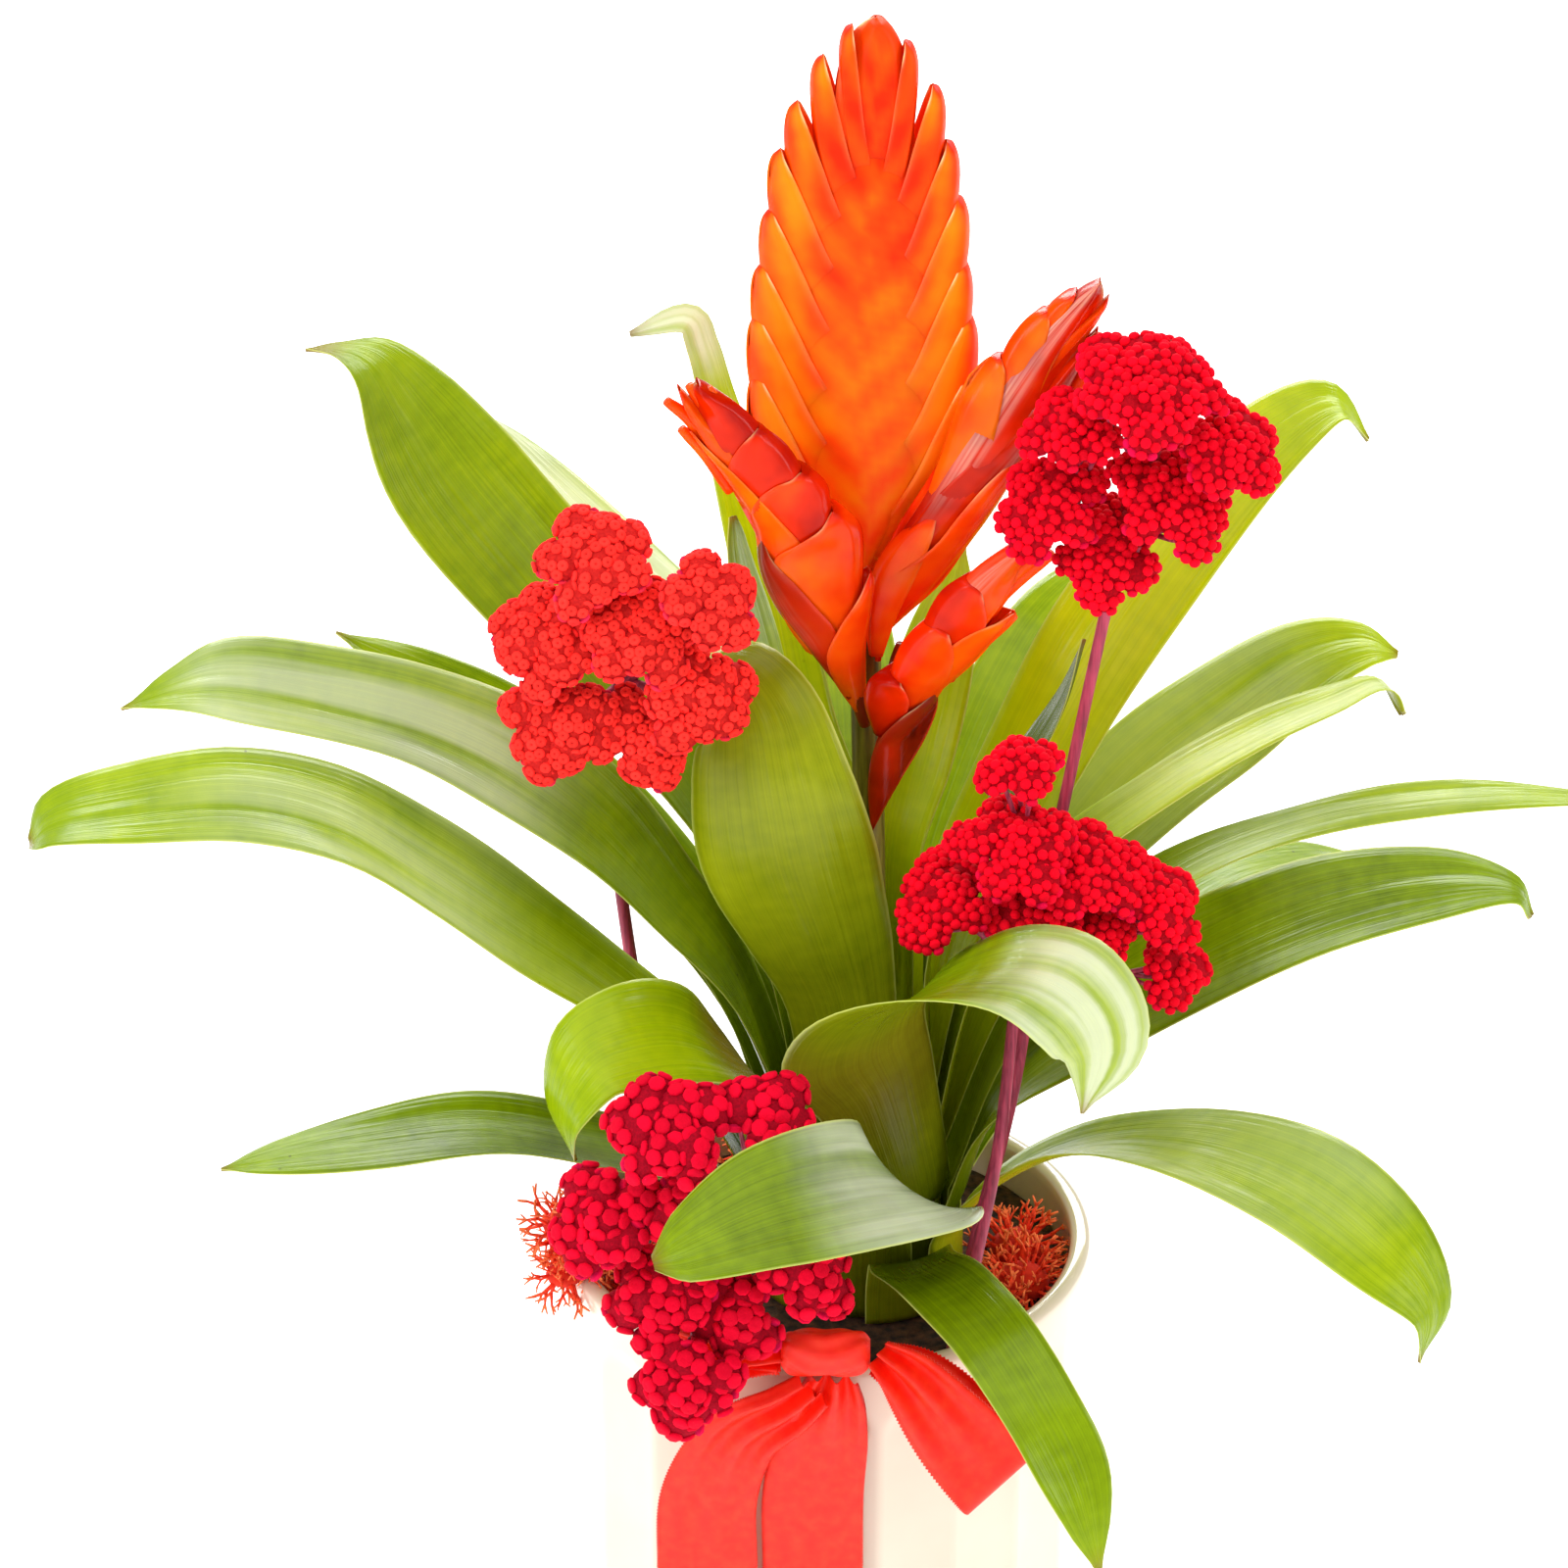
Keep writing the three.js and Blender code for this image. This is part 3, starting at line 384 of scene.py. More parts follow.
def leaf_finish():
    """Bromeliad leaf: waxy skin over parallel veins, so wide satin sheens broken into fine streaks."""
    made, tree, shader = new_material("waxy_strap_leaf", IOR=1.45, Specular_IOR_Level=0.2)
    place = add_node(tree, "ShaderNodeTexCoord").outputs
    # Veins run the length of the leaf 0.6 mm apart: the map is 50 mm wide across and 400 mm along
    veins = noise(tree, stretched(tree, place["UV"], 84.0, 3.0, 1.0))
    # Faint cross veins 4 mm apart
    ladder = noise(tree, stretched(tree, place["UV"], 7.0, 100.0, 1.0))
    clouds = noise(tree, place["Object"], 32.0, 3.0)
    # The tone is partly the leaf's own green and partly painted light: yellow-green where light shines
    # through
    tone = mesh_mark(tree, "tone")
    for texture, amount in ((veins, 0.26), (ladder, 0.14), (clouds, 0.36)):
        tone = swing(tree, texture, amount, tone)
    upper = tones(tree, tone, (0.0, "#2C3A02"), (0.25, "#546A02"), (0.45, "#7E9802"), (0.65, "#A4B804"),
                  (0.85, "#C4D006"), (1.0, "#DAE010"))
    lower = tones(tree, tone, (0.0, "#3C4406"), (0.4, "#788408"), (0.7, "#A4AC14"), (1.0, "#CCC830"))
    skin = coat(tree, mesh_mark(tree, "under"), upper, lower)
    # Shallow lengthwise channels about 11 mm apart break the sheen into streaks, and the painted sheen too:
    # the pale mark whitens the leaf where it should shine
    channels = noise(tree, stretched(tree, place["UV"], 4.5, 3.0, 1.0), detail=3.0)
    painted_sheen = combine(tree, "MULTIPLY", span(tree, channels, 0.36, 0.56, 0.15, 1.0), mesh_mark(tree, "pale"))
    skin = coat(tree, painted_sheen, skin, linear("#EEF0DC"))
    skin = coat(tree, mesh_mark(tree, "blush"), skin, linear("#8A4A1E"))
    # Painted highlight: a pale yellow-green line along the edges, where light catches the thin blade
    skin = coat(tree, span(tree, mesh_mark(tree, "edge"), 0.96, 1.0, 0.0, 0.7), skin, linear("#D2DA70"))
    # Dark specks up to 1 mm across and about 10 mm apart, only in patches
    cells = add_node(tree, "ShaderNodeTexVoronoi", {"Vector": place["Object"], "Scale": 95.0})
    specks = span(tree, cells.outputs["Distance"], 0.03, 0.05, 0.75, 0.0)
    patches = span(tree, noise(tree, place["Object"], 60.0), 0.55, 0.62)
    skin = coat(tree, combine(tree, "MULTIPLY", specks, patches), skin, linear("#2A2408"))
    waves = relief(tree, channels, 0.5, 0.003)
    feed(tree, shader, Base_Color=skin, Roughness=span(tree, veins, 0.0, 1.0, 0.14, 0.3),
         Normal=relief(tree, veins, 0.35, 0.0004, waves))
    return made


def bract_finish(name, gloss, rough):
    """Flower bract: smooth waxy scale that lets light through. Its glow is partly its own orange and
    red and partly painted light: orange where it is single and lit through, deep red where several overlap."""
    made, tree, shader = new_material(name, Roughness=rough, IOR=1.45, Specular_IOR_Level=gloss,
                                      Subsurface_Weight=0.3, Subsurface_Radius=(1.0, 0.3, 0.05),
                                      Subsurface_Scale=0.003)
    place = add_node(tree, "ShaderNodeTexCoord").outputs
    glow = swing(tree, noise(tree, place["Object"], 85.0), 0.5, mesh_mark(tree, "glow"))
    skin = tones(tree, glow, (0.0, "#B01000"), (0.22, "#EE2800"), (0.42, "#FF4A04"), (0.62, "#FF6E04"),
                 (0.85, "#FF8A08"), (1.0, "#FFA828"))
    skin = coat(tree, mesh_mark(tree, "brown"), skin, linear("#6A2410"))
    # Painted light: the margins are coloured pale cream, as if lit through their thin edges, which also
    # covers the shade in the gaps between scales
    skin = coat(tree, mesh_mark(tree, "rim"), skin, linear("#FFDCA0"))
    # Lengthwise nerves about 1 mm apart, which also break up the painted sheen, a pale pink streak that
    # stands in for a shine
    nerves = noise(tree, stretched(tree, place["UV"], 26.0, 2.0, 1.0))
    painted_sheen = combine(tree, "MULTIPLY", span(tree, nerves, 0.3, 0.6), mesh_mark(tree, "sheen"))
    skin = coat(tree, painted_sheen, skin, linear("#FFC0A8"))
    feed(tree, shader, Base_Color=skin, Normal=relief(tree, nerves, 0.15, 0.0004))
    return made


def stem_finish(name, dark, light, rough):
    """Plant stem: smooth skin with lengthwise fibres, so a dull sheen and streaks of two tones."""
    made, tree, shader = new_material(name, Roughness=rough)
    place = add_node(tree, "ShaderNodeTexCoord").outputs["Object"]
    fibres = noise(tree, stretched(tree, place, 900.0, 900.0, 60.0), detail=3.0)
    feed(tree, shader, Base_Color=tones(tree, fibres, (0.35, dark), (0.65, light)),
         Normal=relief(tree, fibres, 0.4, 0.0004))
    return made


def floret_finish(name, painted_shade_tint, body, rim_tint):
    """Dyed yarrow floret: dry velvety buttons, so matt with a soft sheen, with painted shade in the
    hollow centres and on the low sides.
    """
    made, tree, shader = new_material(name, Roughness=0.85, Specular_IOR_Level=0.1, Sheen_Weight=0.12,
                                      Sheen_Roughness=0.4, Sheen_Tint=linear(rim_tint))
    place = add_node(tree, "ShaderNodeTexCoord").outputs["Object"]
    fuzz = noise(tree, place, 1500.0)
    lit = combine(tree, "MULTIPLY_ADD", fuzz, 0.3, mesh_mark(tree, "lit"))
    tint = tones(tree, lit, (0.1, painted_shade_tint), (0.5, body), (1.0, body))
    # Each floret is up to 15% darker or brighter than its neighbours
    bright = span(tree, mesh_mark(tree, "shade"), 0.0, 1.0, 0.85, 1.15)
    varied = add_node(tree, "ShaderNodeVectorMath", {0: tint, "Scale": bright}, operation="SCALE").outputs[0]
    feed(tree, shader, Base_Color=coat(tree, mesh_mark(tree, "border"), varied, linear(rim_tint)),
         Normal=relief(tree, fuzz, 0.5, 0.0003))
    return made


def moss_finish():
    """Dyed reindeer moss: dry spongy branchlets, matt, deep red inside and paler at the tips."""
    made, tree, shader = new_material("dyed_reindeer_moss", Roughness=0.95)
    place = add_node(tree, "ShaderNodeTexCoord").outputs["Object"]
    paleness = combine(tree, "MULTIPLY_ADD", noise(tree, place, 300.0), 0.5, mesh_mark(tree, "tip"))
    feed(tree, shader, Base_Color=tones(tree, paleness, (0.0, "#C81C06"), (0.3, "#FF3A12"), (0.8, "#FF5024"),
                                        (1.0, "#FF7840")))
    return made


def satin_finish():
    """Woven satin: a warp of bright floats over a fine weft, so smooth red with soft moving sheens."""
    made, tree, shader = new_material("red_woven_satin", Roughness=0.38, Specular_IOR_Level=0.3,
                                      Sheen_Weight=0.1, Sheen_Roughness=0.35, Sheen_Tint=linear("#FF6040"))
    place = add_node(tree, "ShaderNodeTexCoord").outputs["UV"]
    # The floats lie in slanting rows 0.25 mm apart
    slant = add_node(tree, "ShaderNodeMapping", {"Vector": place, "Rotation": (0.0, 0.0, math.radians(38))})
    rows = add_node(tree, "ShaderNodeTexWave", {"Vector": slant.outputs["Vector"], "Scale": 32.0,
                                                "Distortion": 0.4, "Detail": 1.0}).outputs["Fac"]
    # Painted sheen: the red is lighter along the rows of floats and in soft patches
    shine = combine(tree, "MULTIPLY_ADD", rows, 0.35, noise(tree, place, 7.0))
    feed(tree, shader, Base_Color=tones(tree, shine, (0.3, "#EE0C02"), (0.7, "#FF2208"), (1.0, "#FF3818")),
         Normal=relief(tree, rows, 0.25, 0.0003))
    return made


glaze = glaze_finish()
peat = peat_finish()
waxy_leaf = leaf_finish()
soft_bract = bract_finish("soft_waxy_bract", 0.1, 0.42)
glossy_bract = bract_finish("glossy_waxy_bract", 0.16, 0.2)
stalk_skin = stem_finish("brown_green_stalk", "#5A4A14", "#8A7A2A", 0.45)
dyed_stem = stem_finish("dyed_yarrow_stem", "#7E1838", "#BA3A58", 0.6)
coral_floret = floret_finish("coral_yarrow_florets", "#9A0A10", "#FF322A", "#D02070")
red_floret = floret_finish("red_yarrow_florets", "#66000C", "#EA001E", "#D80C5C")
crimson_floret = floret_finish("crimson_yarrow_florets", "#5C0010", "#DC0028", "#DC1060")
dyed_moss = moss_finish()
satin = satin_finish()


# Pot: a lathed wall with arched flutes under a smooth rim band

def pot_radius_at(turn, z):
    """The outer radius of the wall, with the flute's hollow at this turn and height."""
    share = (turn * FLUTE_COUNT / (2 * math.pi)) % 1.0
    from_middle = abs(2 * share - 1)
    hollow = (1 - from_middle ** 2.2) * FLUTE_DEPTH
    arch = FLUTE_TOP - FLUTE_ARCH * from_middle ** 2
    return POT_RADIUS - hollow * smooth(arch + 1, arch - 5, z) * smooth(3, 8, z)


def pot_mesh():
    inner = POT_RADIUS - POT_WALL
    heights = [6, 8, 12, 20, 40, 70, 100] + [110 + 0.75 * k for k in range(31)] + [135, 137]
    count = FLUTE_COUNT * FLUTE_SAMPLES
    turns = [2 * math.pi * i / count for i in range(count)]

    def ring(radius_at, z):
        return [(radius_at(a) * math.cos(a + FLUTE_PHASE), radius_at(a) * math.sin(a + FLUTE_PHASE), z)
                for a in turns]

    foot = [(5, 0), (4, 0), (1.6, 1.6), (0.3, 4)]
    rings = [ring(lambda a, inset=inset: POT_RADIUS - inset, z) for inset, z in foot]
    rings += [ring(lambda a, z=z: pot_radius_at(a, z), z) for z in heights]
    half = POT_WALL / 2
    for k in range(1, LIP_STEPS):
        bend = math.pi * k / LIP_STEPS
        rings.append(ring(lambda a, bend=bend: POT_RADIUS - half + half * math.cos(bend),
                          POT_HEIGHT - LIP_HEIGHT + LIP_HEIGHT * math.sin(bend)))
    rings += [ring(lambda a: inner, z) for z in (136, 130, 124, POT_FLOOR + 3)]
    rings.append(ring(lambda a: inner - 3, POT_FLOOR))
    points, faces = loft(rings, (0, 0, 0), (0, 0, POT_FLOOR))
    return make_mesh("pot_glazed", points, faces)


show("pot_glazed", pot_mesh(), glaze, "pot_glaze", "pot")


# Leaves: the way each sheath faces in degrees, its layer from the outside, its width and the height where
# it leaves the stem, its tone as foot, middle and tip from 0, dark green, to 1, yellow-green, partly its own
# green and partly painted light shining through it, and its run in the open as points with the blade's width
# and roll in degrees
leaves = {
    "left_low": (205, 0, 22, 139, (0.36, 0.32, 0.42), [
        (-32, -20, 168, 32, 0), (-60, -34, 184, 33, -2), (-86, -44, 195, 30, -4), (-112, -52, 197, 26, -4),
        (-134, -57, 196, 17, -2), (-149, -60, 194, 3, 0)]),
    "front_right_hanging": (294, 0, 22, 138, (0.3, 0.36, 0.5), [
        (22, -48, 157, 22, 0), (29, -74, 168, 22, 4), (39, -95, 169, 21, 8), (50, -110, 158, 20, 8),
        (59, -119, 142, 18, 4), (65, -125, 120, 3, 0)]),
    "back_low": (85, 0, 24, 139, (0.35, 0.45, 0.5), [
        (12, 48, 166, 32, 0), (14, 82, 184, 34, 0), (16, 116, 192, 30, 0), (18, 146, 186, 20, 0),
        (19, 164, 176, 3, 0)]),
    "right_low": (334, 1, 22, 142, (0.62, 0.52, 0.5), [
        (46, -19, 167, 25, -4), (64, -36, 186, 28, -12), (88, -56, 198, 33, -6), (114, -72, 197, 34, 4),
        (134, -84, 186, 28, 10), (145, -90, 173, 16, 6), (143, -92, 159, 3, 0)]),
    "left_under": (172, 1, 16, 144, (0.3, 0.3, 0.36), [
        (-36, 4, 184, 18, 0), (-58, 4, 212, 18, 0), (-78, 3, 231, 14, 0), (-97, 2, 243, 3, 0)]),
    "back_right_low": (35, 1, 22, 143, (0.4, 0.5, 0.5), [
        (46, 26, 172, 30, 0), (76, 50, 192, 32, 0), (104, 72, 202, 30, 0), (130, 92, 198, 20, 0),
        (146, 104, 190, 3, 0)]),
    "front_left_over": (272, 2, 24, 146, (0.2, 0.27, 0.38), [
        (16, -48, 170, 30, -4), (20, -72, 192, 34, -20), (17, -91, 208, 38, -46), (3, -104, 215, 37, -58),
        (-14, -110, 214, 34, -60), (-29, -114, 209, 26, -56), (-42, -115, 202, 14, -50)]),
    "right_big": (350, 2, 26, 147, (0.6, 0.38, 0.42), [
        (44, -4, 180, 32, 6), (68, -10, 206, 37, 16), (94, -15, 227, 38, 20), (122, -18, 243, 36, 20),
        (150, -20, 251, 27, 16), (168, -21, 251, 12, 8), (173, -21, 243, 3, 0)]),
    "back_left_high": (134, 2, 22, 147, (0.4, 0.5, 0.5), [
        (-19, 31, 188, 22, 0), (-48, 50, 222, 28, 0), (-76, 58, 248, 26, 0), (-102, 62, 266, 18, 0),
        (-126, 64, 279, 3, 0)]),
    "left_big": (192, 2, 24, 148, (0.66, 0.52, 0.46), [
        (-30, -10, 192, 30, -6), (-54, -15, 217, 34, -14), (-76, -19, 237, 36, -18), (-98, -24, 257, 37, -18),
        (-120, -29, 275, 37, -16), (-144, -34, 284, 35, -14), (-170, -38, 283, 30, -12),
        (-187, -40, 280, 25, -6), (-193, -41, 274, 15, 0)]),
    "front_left_curled": (221, 3, 24, 152, (0.36, 0.5, 0.5), [
        (-14, -26, 194, 26, -4), (-27, -39, 214, 32, -20), (-38, -47, 224, 31, -34), (-49, -54, 227, 29, -38),
        (-59, -59, 224, 26, -26), (-65, -62, 211, 19, -8), (-62, -62, 198, 3, 0)]),
    "right_long": (8, 3, 20, 152, (0.6, 0.56, 0.55), [
        (46, 6, 196, 22, 2), (70, 10, 224, 20, 4), (96, 14, 241, 18, 4), (124, 18, 250, 16, 4),
        (152, 20, 254, 14, 4), (180, 20, 255, 12, 2), (212, 20, 252, 3, 0)]),
    "back_mid": (94, 3, 22, 150, (0.4, 0.48, 0.5), [
        (6, 42, 198, 26, 0), (4, 74, 234, 32, 0), (2, 104, 255, 32, 0), (0, 132, 260, 22, 0),
        (-1, 150, 254, 3, 0)]),
    "front_right_curled": (302, 4, 28, 154, (0.3, 0.42, 0.55), [
        (14, -30, 196, 34, 0), (9, -44, 217, 44, 0), (15, -57, 237, 44, 2), (31, -67, 251, 40, 10),
        (47, -73, 256, 36, 26), (59, -78, 252, 31, 48), (65, -81, 240, 24, 58), (60, -83, 224, 3, 60)]),
    "back_right_mid": (60, 4, 24, 155, (0.4, 0.5, 0.5), [
        (29, 37, 206, 30, 0), (44, 65, 240, 34, 0), (59, 90, 263, 30, 0), (73, 113, 270, 20, 0),
        (84, 128, 265, 3, 0)]),
    "front_upright": (258, 5, 25, 160, (0.44, 0.5, 0.5), [
        (3, -22, 212, 28, 0), (-3, -27, 236, 39, 0), (-11, -29, 260, 48, 0), (-15, -28, 282, 43, 0),
        (-18, -22, 298, 33, 0), (-25, -13, 304, 24, 0), (-33, -6, 297, 13, 0), (-38, -4, 287, 3, 0)]),
    "right_broad": (24, 5, 22, 160, (0.85, 0.66, 0.6), [
        (42, 16, 206, 27, 2), (62, 30, 229, 32, 10), (82, 42, 247, 36, 18), (102, 51, 260, 36, 20),
        (121, 58, 272, 30, 14), (136, 60, 277, 19, 4), (146, 61, 274, 3, 0)]),
    "left_slim": (152, 5, 18, 160, (0.4, 0.45, 0.5), [
        (-26, 22, 205, 19, 0), (-48, 36, 226, 20, 0), (-66, 43, 245, 16, 0), (-82, 48, 260, 3, 0)]),
    "left_arching": (178, 6, 23, 164, (0.4, 0.46, 0.5), [
        (-24, 0, 212, 28, -4), (-42, -1, 238, 32, -12), (-58, -2, 259, 34, -20), (-78, -3, 277, 35, -22),
        (-100, -4, 289, 32, -20), (-124, -6, 297, 29, -18), (-146, -8, 302, 27, -12), (-160, -9, 300, 16, -6),
        (-173, -10, 295, 3, 0)]),
    "right_folded": (6, 6, 18, 166, (0.6, 0.62, 0.6), [
        (38, 3, 217, 22, 0), (60, 9, 243, 24, 4), (84, 14, 261, 22, 2), (106, 18, 273, 20, 0),
        (126, 21, 281, 18, 0), (138, 23, 285, 12, 0), (144, 24, 276, 3, 0)]),
    "left_tall": (150, 7, 22, 168, (0.46, 0.48, 0.44), [
        (-14, 16, 218, 26, 0), (-29, 30, 246, 31, -12), (-50, 42, 275, 37, -24), (-73, 49, 300, 41, -30),
        (-93, 55, 324, 41, -28), (-105, 61, 341, 35, -18), (-114, 64, 354, 23, -8), (-123, 66, 357, 11, 0),
        (-131, 66, 357, 3, 0)]),
    "right_tall": (32, 7, 22, 170, (0.85, 0.78, 0.55), [
        (31, 15, 217, 27, 0), (48, 26, 250, 33, 10), (66, 38, 283, 33, 18), (84, 48, 308, 31, 20),
        (101, 57, 326, 28, 16), (116, 63, 338, 24, 10), (128, 66, 342, 16, 4), (136, 66, 332, 3, 0)]),
    "left_narrow": (126, 8, 14, 172, (0.5, 0.68, 0.4), [
        (-3, 15, 226, 15, 0), (-7, 39, 254, 15, 0), (-33, 71, 278, 19, 0), (-64, 95, 298, 18, 0),
        (-83, 110, 312, 11, 0), (-94, 116, 318, 3, 0)]),
    "right_dark": (0, 8, 12, 174, (0.3, 0.26, 0.2), [
        (26, -1, 226, 14, 0), (38, 2, 250, 19, 6), (49, 6, 272, 20, 8), (58, 10, 288, 15, 4),
        (63, 12, 303, 3, 0)]),
    "back_left_tall": (112, 9, 12, 174, (0.5, 0.6, 0.5), [
        (4, 15, 240, 18, 0), (-8, 35, 268, 20, -4), (-15, 50, 298, 18, -8), (-22, 62, 323, 14, -8),
        (-28, 71, 341, 10, -6), (-32, 75, 354, 9, 0), (-36, 76, 361, 8, 0), (-50, 78, 356, 3, 0)]),
    "back_right_upright": (56, 9, 11, 176, (0.6, 0.7, 0.6), [
        (16, 17, 236, 18, 0), (22, 27, 264, 24, 0), (29, 36, 292, 21, 0), (34, 43, 315, 3, 0)]),
    "left_dark": (160, 10, 11, 178, (0.42, 0.46, 0.4), [
        (0, 6, 238, 14, 0), (-9, 15, 266, 20, 0), (-17, 23, 295, 21, 0), (-22, 27, 315, 13, 0),
        (-24, 28, 329, 3, 0)]),
}


# Where a leaf has a painted whitish sheen, standing in for a shine, or a rusty flush: from and to as shares
# of its length, and how strong
whitish_sheen_stretches = {
    "front_right_curled": (0.72, 1.0, 0.55),
    "front_left_over": (0.5, 0.66, 0.42),
    "left_big": (0.52, 0.72, 0.2),
    "left_arching": (0.55, 0.85, 0.34),
    "left_narrow": (0.6, 1.0, 0.5),
    "right_broad": (0.5, 0.75, 0.14),
    "right_folded": (0.55, 0.9, 0.2),
    "right_low": (0.55, 0.7, 0.12),
    "right_long": (0.6, 0.8, 0.12),
    "back_left_tall": (0.8, 1.0, 0.6),
}
rusty_stretches = {
    "front_left_curled": (0.3, 0.42, 0.6),
    "front_right_curled": (0.3, 0.4, 0.3),
    "left_tall": (0.95, 1.0, 0.5),
}


def stretch_mark(stretches, name, t):
    start, end, amount = stretches.get(name, (0, 0, 0))
    return amount * smooth(start - 0.1, start + 0.02, t) * (1 - smooth(end - 0.02, end + 0.1, t))


def leaf_mesh(name, facing, layer, sheath, leaves_at, greens_and_backlight, run):
    radius = LAYER_OUTERMOST - LAYER_PITCH * layer
    angle = math.radians(facing)
    outward = Vector((math.cos(angle), math.sin(angle), 0))

    def on_layer(extra, z):
        at = STEM_AXIS + outward * (radius + extra)
        return (at.x, at.y, z)

    centres = [on_layer(0, SOIL_TOP + 1), on_layer(0, leaves_at), on_layer(2.2, leaves_at + 8)]
    widths, rolls, bends = [sheath] * 3, [0.0] * 3, [1 / radius] * 3
    for x, y, z, width, roll in run:
        centres.append((x, y, z))
        widths.append(width)
        rolls.append(math.radians(roll))
        bends.append(max(LEAF_CUP - LEAF_CUP_FADE * (len(centres) - 4), LEAF_CUP_TIP))
    frames = frames_along(centres, (-math.sin(angle), math.cos(angle), 0), LEAF_STATIONS, rolls)
    draw = random.Random(name)
    waves = [(draw.uniform(0.05, 0.09), draw.uniform(0, 6.3)) for _ in range(2)]
    widest = max(widths)
    points, grid = [], []
    marks = {"tone": [], "edge": [], "under": [], "blush": [], "pale": []}
    for t, centre, side, normal, length in frames:
        width = max(read_list(widths, t) * math.sqrt(max(1 - smooth(0.94, 1.02, t), 0.01)), 0.6)
        bend = read_list(bends, t)
        # Painted light in part: the tone turns yellow-green where light would shine through the leaf
        tone = read_list(greens_and_backlight, max((t - 0.15) / 0.85, 0))
        open_share = smooth(0.25, 0.5, t)
        columns = [(j / LEAF_STRIPS - 0.5, 1) for j in range(LEAF_STRIPS + 1)]
        columns += [(u, -1) for u, _ in reversed(columns)]
        for u, face in columns:
            along = u * width
            turn = along * bend
            across = math.sin(turn) / bend
            rise = (1 - math.cos(turn)) / bend
            rate, start = waves[0] if u < 0 else waves[1]
            rise += open_share * 0.9 * (2 * abs(u)) ** 3 * math.sin(length * rate + start)
            lift = face * LEAF_THICKNESS / 2 * (1 - 0.75 * (2 * abs(u)) ** 6)
            across -= lift * math.sin(turn)
            rise += lift * math.cos(turn)
            points.append(centre + side * across + normal * rise)
            grid.append((0.5 + u * widest / LEAF_MAP_WIDTH, length / LEAF_MAP_LENGTH))
            marks["tone"].append(tone)
            marks["edge"].append(2 * abs(u))
            marks["under"].append(0.0 if face > 0 else 1.0)
            marks["blush"].append(max(0.6 * smooth(0.97, 1.0, t), stretch_mark(rusty_stretches, name, t)))
            # The pale mark is painted sheen: whitish colour where the leaf should shine
            marks["pale"].append(stretch_mark(whitish_sheen_stretches, name, t))
    count = 2 * (LEAF_STRIPS + 1)
    rings = [points[k * count:(k + 1) * count] for k in range(LEAF_STATIONS + 1)]
    joined_points, faces = loft(rings)
    return make_mesh(f"leaf_blade_{name}", joined_points, faces, marks, grid)


for name, row in leaves.items():
    show(f"leaf_blade_{name}", leaf_mesh(name, *row), waxy_leaf, "leaf", f"leaf_{name}")


# Bracts: thin scales folded along a keel and pressed to one lens-shaped body, the lower over the upper.
# Each keel and each pair of margins is a line on the spike's own plane, and the two meet at the tip

BRACT_MARKS = ("glow", "rim", "brown", "sheen")


def body_depth(body, x, z):
    """Half the depth of the spike's body at a place on its plane, and how far that is off its middle."""
    up = (z - body["low"]) / (body["high"] - body["low"])
    off = min(abs(x - read_list(body["middles"], up)) / read_list(body["halves"], up), 1.0)
    return read_list(body["depths"], up) * math.sqrt(1 - off ** 2), off


def bract_marks(body, x, z, off, inward, along, look):
    """The colour marks at a place on a scale, from how far it is towards its margin and along to its tip."""
    # Painted light: a scale is lighter towards its margin, where it lies single and light shines through
    own = look["glow"] + body["inner_glow"] * (smooth(0.1, 0.7, inward) - 0.45)
    own -= 0.24 * smooth(0.8, 1.0, along)
    apart = 1 - body["blend"] * (1 - smooth(0.42, 0.8, off))
    # Painted light along the margins, faint lower down and strong near the tip
    edge_light = 0.1 * smooth(0.3, 0.45, along) + 0.9 * smooth(0.72, 0.84, along)
    flank = math.sin(math.pi * min(inward / 0.55, 1.0))
    return {
        "glow": middle_glow(body, x, z) * (1 - apart) + own * apart,
        "rim": body["rim"] * smooth(0.86, 0.98, inward) * edge_light,
        "brown": look["brown"] * (0.4 + 0.6 * smooth(0.5, 1.0, along)),
        # Painted sheen: a pale streak along the flank, standing in for a shine
        "sheen": look["sheen"] * flank * smooth(0.2, 0.4, along),
    }


